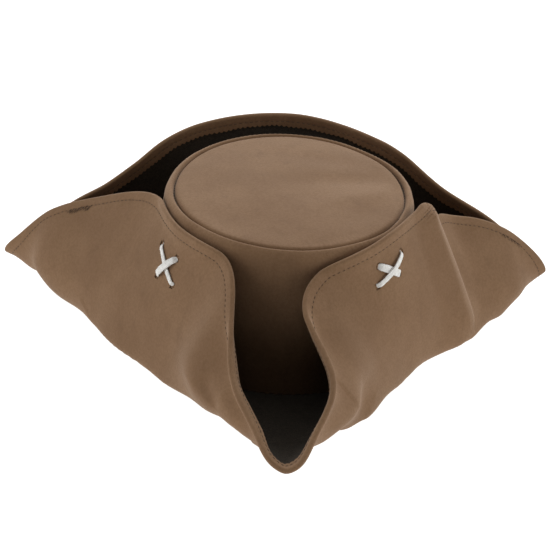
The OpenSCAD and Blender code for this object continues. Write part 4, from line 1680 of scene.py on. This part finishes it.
class Inside:
    """The lining, its tip, the sweatband and the sweatband's seam."""

    def __init__(self, sizes: HatSizes, finishes: Finishes, crown: Crown) -> None:
        """Keeps the hat's sizes, its finishes and the crown they are sewn into."""
        self.sizes, self.finishes, self.crown = sizes, finishes, crown

    def _lining_path(self) -> np.ndarray:
        """Returns the lining's outline from the foot to its tip seam."""
        s = self.sizes
        foot = s.wall - s.band - 2 * s.gap - s.lining
        room = s.suede + s.crown_buckram + 2 * s.gap + LINING_AIR + 2.5 + 0.6
        top_z = s.crown_h - LINING_DROP
        z0 = s.foot_z + 2
        spots = [(foot, z0), (foot, s.band_z + s.band_h / 2), (foot, s.band_z + s.band_h + 1),
                 (room, s.band_z + s.band_h + 14), (room, mix(z0, top_z, 0.72)),
                 (s.seam_in - 0.5, top_z - 6)]
        path = [(p + float(s.lean(z)), z) for p, z in spots] + [(s.seam_in + 5, top_z)]
        path = np.array(path)
        t = np.linspace(0, len(path) - 1, 44)
        return np.stack([np.interp(t, np.arange(len(path)), path[:, k]) for k in (0, 1)], -1)

    def _puffs(self, p: np.ndarray) -> tuple[np.ndarray, np.ndarray]:
        """Gives the lining's soft gathers, strongest where it hangs free.

        Args:
            p: places on the lining.

        Returns:
            How far each place moves outwards and up.
        """
        z = p[..., 2]
        free = smooth((z - 38) / 12) * smooth((89 - z) / 8)
        a = np.arctan2(p[..., 1], p[..., 0])
        gathers = 0.5 + 0.5 * np.sin(a * 23 + 2 * np.sin(a * 5))
        out = -free * (gathers + 0.4 * ripple(p, 30, 61)) * 0.8
        return np.minimum(out, 0), np.zeros_like(out)

    def _tip_sag(self, p: np.ndarray) -> tuple[np.ndarray, np.ndarray]:
        """Returns how far each place of the lining's tip moves outwards and up."""
        free = smooth((70 - np.hypot(p[..., 0], p[..., 1])) / 20)
        return np.zeros(p.shape[:-1]), -0.5 * free * np.abs(ripple(p, 26, 71))

    def lining(self) -> list[bpy.types.Object]:
        """Returns the lining's side and tip."""
        s = self.sizes
        path = self._lining_path()
        outline = np.concatenate([path, path[::-1] + [s.lining, 0]])
        side = self.crown.shell("lining_side_cloth", Finish.LINING, outline, "lining_side",
                                self._puffs)
        rim = s.seam_in + 5 + s.lining + s.gap
        share = np.linspace(1, 0, 30)
        top_z = s.crown_h - LINING_DROP
        upper = np.stack([mix(min(s.foot), rim, share), top_z + 2 * (1 - share)], -1)
        tip = self.crown.dish("lining_tip_cloth", Finish.LINING, upper, upper - [0, s.lining],
                              "lining_tip", self._tip_sag)
        return [side, tip]

    def sweatband(self) -> bpy.types.Object:
        """Returns the grosgrain band round the head opening, its foot turned out below."""
        s = self.sizes
        z = np.linspace(s.band_z + 0.5, s.band_z + s.band_h, 16)
        inner = np.stack([s.lean(z) + s.wall, z], -1)
        outer = np.stack([s.lean(z) + s.wall - s.band, np.maximum(z, s.band_z + s.band)], -1)
        foot = np.array([(s.suede / 2, s.band_z + s.band), (s.suede / 2, s.band_z),
                         (s.wall - 0.5, s.band_z)])
        outline = np.concatenate([foot, inner, outer[::-1][:-1], outer[:1]])
        obj = self.crown.shell("sweatband_tape", Finish.SWEATBAND, outline, "sweatband")
        return obj

    def band_seam(self) -> bpy.types.Object:
        """Returns the stitches that hold the sweatband."""
        s = self.sizes
        patches = Patchwork()
        z = s.band_z + 3
        for a, c in StitchMaker.round_pairs(s, 95, 0.66, s.wall + float(s.lean(z)) + 0.12, z):
            self.crown.maker.add(patches, a, c, -unit(a * [1, 1, 0]), rise=0.16)
        return settle(patches.build("band_seam", self.finishes.of(Finish.BAND_THREAD)),
                      "band_thread", "sweatband_stitching")


# ---------------------------------------------------------------- laces

@dataclass(frozen=True)
class LaceSizes:
    """A flat cotton lace.

    Attributes:
        upper_w: half width of the stroke that lies on top.
        lower_w: half width of the stroke beneath it.
        half_t: half its thickness.
        leg: half width where it goes through a hole.
    """
    upper_w: float
    lower_w: float
    half_t: float = 0.5
    leg: float = 1.35


class Lace:
    """One lace: two crossed strokes outside, and legs, ties and a knot inside the crown."""

    def __init__(self, sizes: HatSizes, brim: Brim, lace: LaceSizes, name: str,
                 finishes: Finishes) -> None:
        """Keeps what the lace is threaded through."""
        self.sizes, self.brim, self.lace = sizes, brim, lace
        self.name, self.finishes = name, finishes
        self.rng = np.random.default_rng(sum(map(ord, name)))

    def _hole(self, hole: tuple[float, float], out: float) -> np.ndarray:
        """Returns a hole's middle on a face of the brim."""
        u, h = hole
        return self.brim.at(u, self.brim.at_height(u, h * self.sizes.crown_h), out)

    def _inside(self, hole: tuple[float, float], inset: float) -> np.ndarray:
        """Finds where a hole's level axis crosses an oval inside the side band.

        Args:
            hole: the hole's (station, share of the crown's height).
            inset: how far inside the side band the oval lies.

        Returns:
            The place.
        """
        s = self.sizes
        p = self._hole(hole, 0.0)
        fx, fy = s.foot
        d = unit(np.array([p[0] / fx ** 2, p[1] / fy ** 2, 0.0]))
        lean = float(s.lean(p[2]))
        a, b = fx - lean - inset, fy - lean - inset
        qa = d[0] ** 2 / a ** 2 + d[1] ** 2 / b ** 2
        qb = -2 * (p[0] * d[0] / a ** 2 + p[1] * d[1] / b ** 2)
        qc = p[0] ** 2 / a ** 2 + p[1] ** 2 / b ** 2 - 1
        return p - d * (-qb - math.sqrt(max(0.0, qb * qb - 4 * qa * qc))) / (2 * qa)

    def _stroke(self, patches: Patchwork, start: tuple, end: tuple, half_w: float,
                rise: float) -> None:
        """Adds one visible stroke, flat between its two holes, that turns down into each.

        Args:
            patches: the mesh it goes into.
            start: its first hole.
            end: its last hole.
            half_w: half its width.
            rise: how high its middle stands.
        """
        b, s, lace = self.brim, self.sizes, self.lace
        vs, ve = (b.at_height(h[0], h[1] * s.crown_h) for h in (start, end))
        skin = s.suede_out + lace.half_t + 0.12
        path, up, wide, thick = [], [], [], []
        for f in np.linspace(0, 1, 27):
            u, v = mix(start[0], end[0], f), mix(vs, ve, f)
            near = min(f, 1 - f) * np.linalg.norm(self._hole(end, 0) - self._hole(start, 0))
            dip = 2.0 * (1 - smooth(near / 1.5))
            path.append(b.at(u, v, skin + rise * math.sin(math.pi * f) ** 0.8 - dip))
            up.append(b.out_at(u, v))
            grow = smooth((near + 0.6) / 2.0)
            wobble = 1 + 0.05 * math.sin(f * 17 + half_w) + self.rng.normal(0, 0.012)
            wide.append(mix(lace.leg, half_w, grow) * wobble)
            thick.append(mix(lace.leg * 0.62, lace.half_t, grow))
        path, up, wide = np.array(path), np.array(up), np.array(wide)
        patches.tube(path, np.array(thick), sides=20, up=up, flat=wide)
        self._fray(patches, path, up, wide)

    def _fray(self, patches: Patchwork, path: np.ndarray, up: np.ndarray, wide: np.ndarray) -> None:
        """Adds loose fibres along a stroke's two edges.

        Args:
            patches: the mesh they go into.
            path: the stroke's centre line.
            up: the direction of its thickness.
            wide: half its width.
        """
        along = unit(np.gradient(path, axis=0))
        side = unit(np.cross(along, up))
        for _ in range(46):
            k = int(self.rng.integers(3, len(path) - 3))
            way = self.rng.choice([-1, 1])
            root = path[k] + side[k] * wide[k] * way * 0.9 + up[k] * self.rng.uniform(-0.2, 0.4)
            reach = side[k] * way * self.rng.uniform(0.2, 0.75)
            reach = reach + along[k] * self.rng.uniform(-1.1, 1.1)
            curl = up[k] * self.rng.uniform(-0.25, 0.3)
            t = np.linspace(0, 1, 4)[:, None]
            taper = np.array([0.06, 0.05, 0.04, 0.02])
            patches.tube(root + reach * t + curl * t * t, taper, sides=4)

    def make(self) -> bpy.types.Object:
        """Returns the whole lace as one piece."""
        s, lace = self.sizes, self.lace
        holes = HOLES[self.name]
        patches = Patchwork()
        self._stroke(patches, holes[0], holes[1], lace.upper_w, 1.75)
        self._stroke(patches, holes[2], holes[3], lace.lower_w, 0.35)
        inside = s.suede + s.crown_buckram + 2 * s.gap + LINING_AIR
        for hole in holes:
            ends = self._hole(hole, s.suede_out - 1.2), self._inside(hole, inside)
            patches.tube(mix(ends[0], ends[1], np.linspace(0, 1, 6)[:, None]), lace.leg, sides=12)
        for a, b in ((1, 2), (0, 3)):
            ends = self._inside(holes[a], inside), self._inside(holes[b], inside)
            patches.tube(mix(ends[0], ends[1], np.linspace(0, 1, 10)[:, None]), 1.1, sides=12)
        middle = (self._inside(holes[0], inside) + self._inside(holes[3], inside)) / 2
        t = np.linspace(0, 2 * math.pi, 64)
        knot = np.stack([np.sin(t) + 2 * np.sin(2 * t), np.cos(t) - 2 * np.cos(2 * t),
                         -np.sin(3 * t)], -1)
        patches.tube(middle + knot * 0.45, 0.95, sides=10)
        return settle(patches.build(self.name + "_tape", self.finishes.of(Finish.LACE)), "lace",
                      self.name)


# ---------------------------------------------------------------- stage

@dataclass(frozen=True)
class Eye:
    """Where the camera stands and how it is held.

    Attributes:
        target: the place it is measured from, in metres.
        elevation: degrees above the horizon.
        distance: metres from the target.
        roll: degrees by which the view is turned.
        down, left: degrees by which it is aimed below and left of the target.
        lens: focal length in millimetres.
    """
    target: tuple[float, float, float] = (0.0, 0.0, 0.1)
    elevation: float = 24.0
    distance: float = 1.6
    roll: float = 3.6
    down: float = 2.08
    left: float = 0.2325
    lens: float = 158.4

    def place(self) -> bpy.types.Object:
        """Returns the scene's camera."""
        data = bpy.data.cameras.new("camera")
        data.lens, data.sensor_width = self.lens, 36.0
        data.clip_start, data.clip_end = 0.05, 50.0
        camera = bpy.data.objects.new("camera", data)
        bpy.context.scene.collection.objects.link(camera)
        e = math.radians(self.elevation)
        back = Vector((0, -math.cos(e), math.sin(e)))
        turn = (-back).to_track_quat("-Z", "Y").to_matrix().to_4x4()
        turn = turn @ Matrix.Rotation(math.radians(self.roll), 4, "Z")
        turn = turn @ Matrix.Rotation(math.radians(-self.down), 4, "X")
        turn = turn @ Matrix.Rotation(math.radians(self.left), 4, "Y")
        camera.matrix_world = Matrix.Translation(Vector(self.target) + back * self.distance) @ turn
        bpy.context.scene.camera = camera
        return camera


@dataclass(frozen=True)
class Lamp:
    """A soft square lamp aimed at the hat."""
    name: str
    place: tuple[float, float, float]
    size: float
    power: float
    tint: tuple[float, float, float] = (1.0, 1.0, 1.0)

    def hang(self) -> None:
        """Puts the lamp in the scene."""
        data = bpy.data.lights.new(self.name, "AREA")
        data.shape, data.size, data.energy, data.color = "SQUARE", self.size, self.power, self.tint
        lamp = bpy.data.objects.new(self.name, data)
        bpy.context.scene.collection.objects.link(lamp)
        lamp.location = self.place
        lamp.rotation_mode = "QUATERNION"
        aim = Vector((0, 0, 0.05)) - Vector(self.place)
        lamp.rotation_quaternion = aim.to_track_quat("-Z", "Y")


class Studio:
    """The floor, the surroundings, the lamps and the camera."""

    FLOOR_SIZE = 14
    FLOOR_GAP = 0.0006
    LAMPS = (
        Lamp("left softbox", (-1.7, -0.3, 0.75), 1.2, 13.0),
        Lamp("right softbox", (1.7, -0.3, 0.75), 1.2, 13.0),
        Lamp("back softbox", (0.3, 1.5, 1.3), 1.4, 24.0, (0.97, 0.985, 1.0)),
    )

    def build(self) -> None:
        """Sets the stage."""
        for lamp in self.LAMPS:
            lamp.hang()
        bpy.ops.mesh.primitive_plane_add(size=self.FLOOR_SIZE)
        floor = bpy.context.object
        floor.name = "floor"
        floor.location.z = -self.FLOOR_GAP
        surface = Surface("pale floor", Emission_Color=(1.0, 1.0, 0.995, 1), Emission_Strength=1.0,
                          Roughness=0.9, Specular_IOR_Level=0.1)
        g = surface.graph
        shade = g.noise(g.add("TexCoord").outputs["Object"], 3.0)
        tone = g.blend(shade, (0.3, 0.3, 0.298, 1), (0.32, 0.32, 0.32, 1))
        floor.data.materials.append(surface.fed(Base_Color=tone))
        world = bpy.data.worlds.new("pale room")
        world.use_nodes = True
        g = Graph(world.node_tree)
        way = g.add("TexCoord").outputs["Generated"]
        share = g.add("VectorMath", {"operation": "DOT_PRODUCT"}, i0=way,
                      i1=(0.0, 0.55, 0.84)).outputs["Value"]
        sky = g.blend(g.ramp(share, ((0.1, 0.0), (0.95, 1.0))), (0.012, 0.012, 0.012, 1),
                      (0.8, 0.81, 0.83, 1))
        world.node_tree.links.new(sky, world.node_tree.nodes["Background"].inputs["Color"])
        scene = bpy.context.scene
        scene.world = world
        scene.view_settings.view_transform = "Standard"
        scene.view_settings.look = "None"
        Eye().place()


def main() -> None:
    """Builds every piece in order."""
    logging.basicConfig(level=logging.INFO, format="%(name)s: %(message)s")
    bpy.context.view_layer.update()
    sizes, hem, finishes = HatSizes(), HemSizes(), Finishes()
    brim = Brim(sizes)
    cloth = BrimCloth(sizes, hem, brim, finishes)
    cloth.suede()
    cloth.buckram()
    cloth.felt()
    seams = BrimSeams(sizes, hem, brim, finishes)
    seams.hem_seam()
    seams.tack("tack_left", "hem_tack_left", 18.42, 18.78, 9)
    seams.tack("tack_right", "hem_tack_right", 7.8, 8.1, 6)
    seams.joint()
    crown = Crown(sizes, finishes)
    crown.side()
    crown.tip()
    crown.buckrams()
    crown.tip_seam()
    crown.back_seam()
    inside = Inside(sizes, finishes, crown)
    inside.lining()
    inside.sweatband()
    inside.band_seam()
    for name, lace in (("lace_left", LaceSizes(2.3, 1.5)), ("lace_right", LaceSizes(1.75, 2.4)),
                       ("lace_back", LaceSizes(1.9, 1.9))):
        Lace(sizes, brim, lace, name, finishes).make()
    Studio().build()


if __name__ == "__main__":
    main()
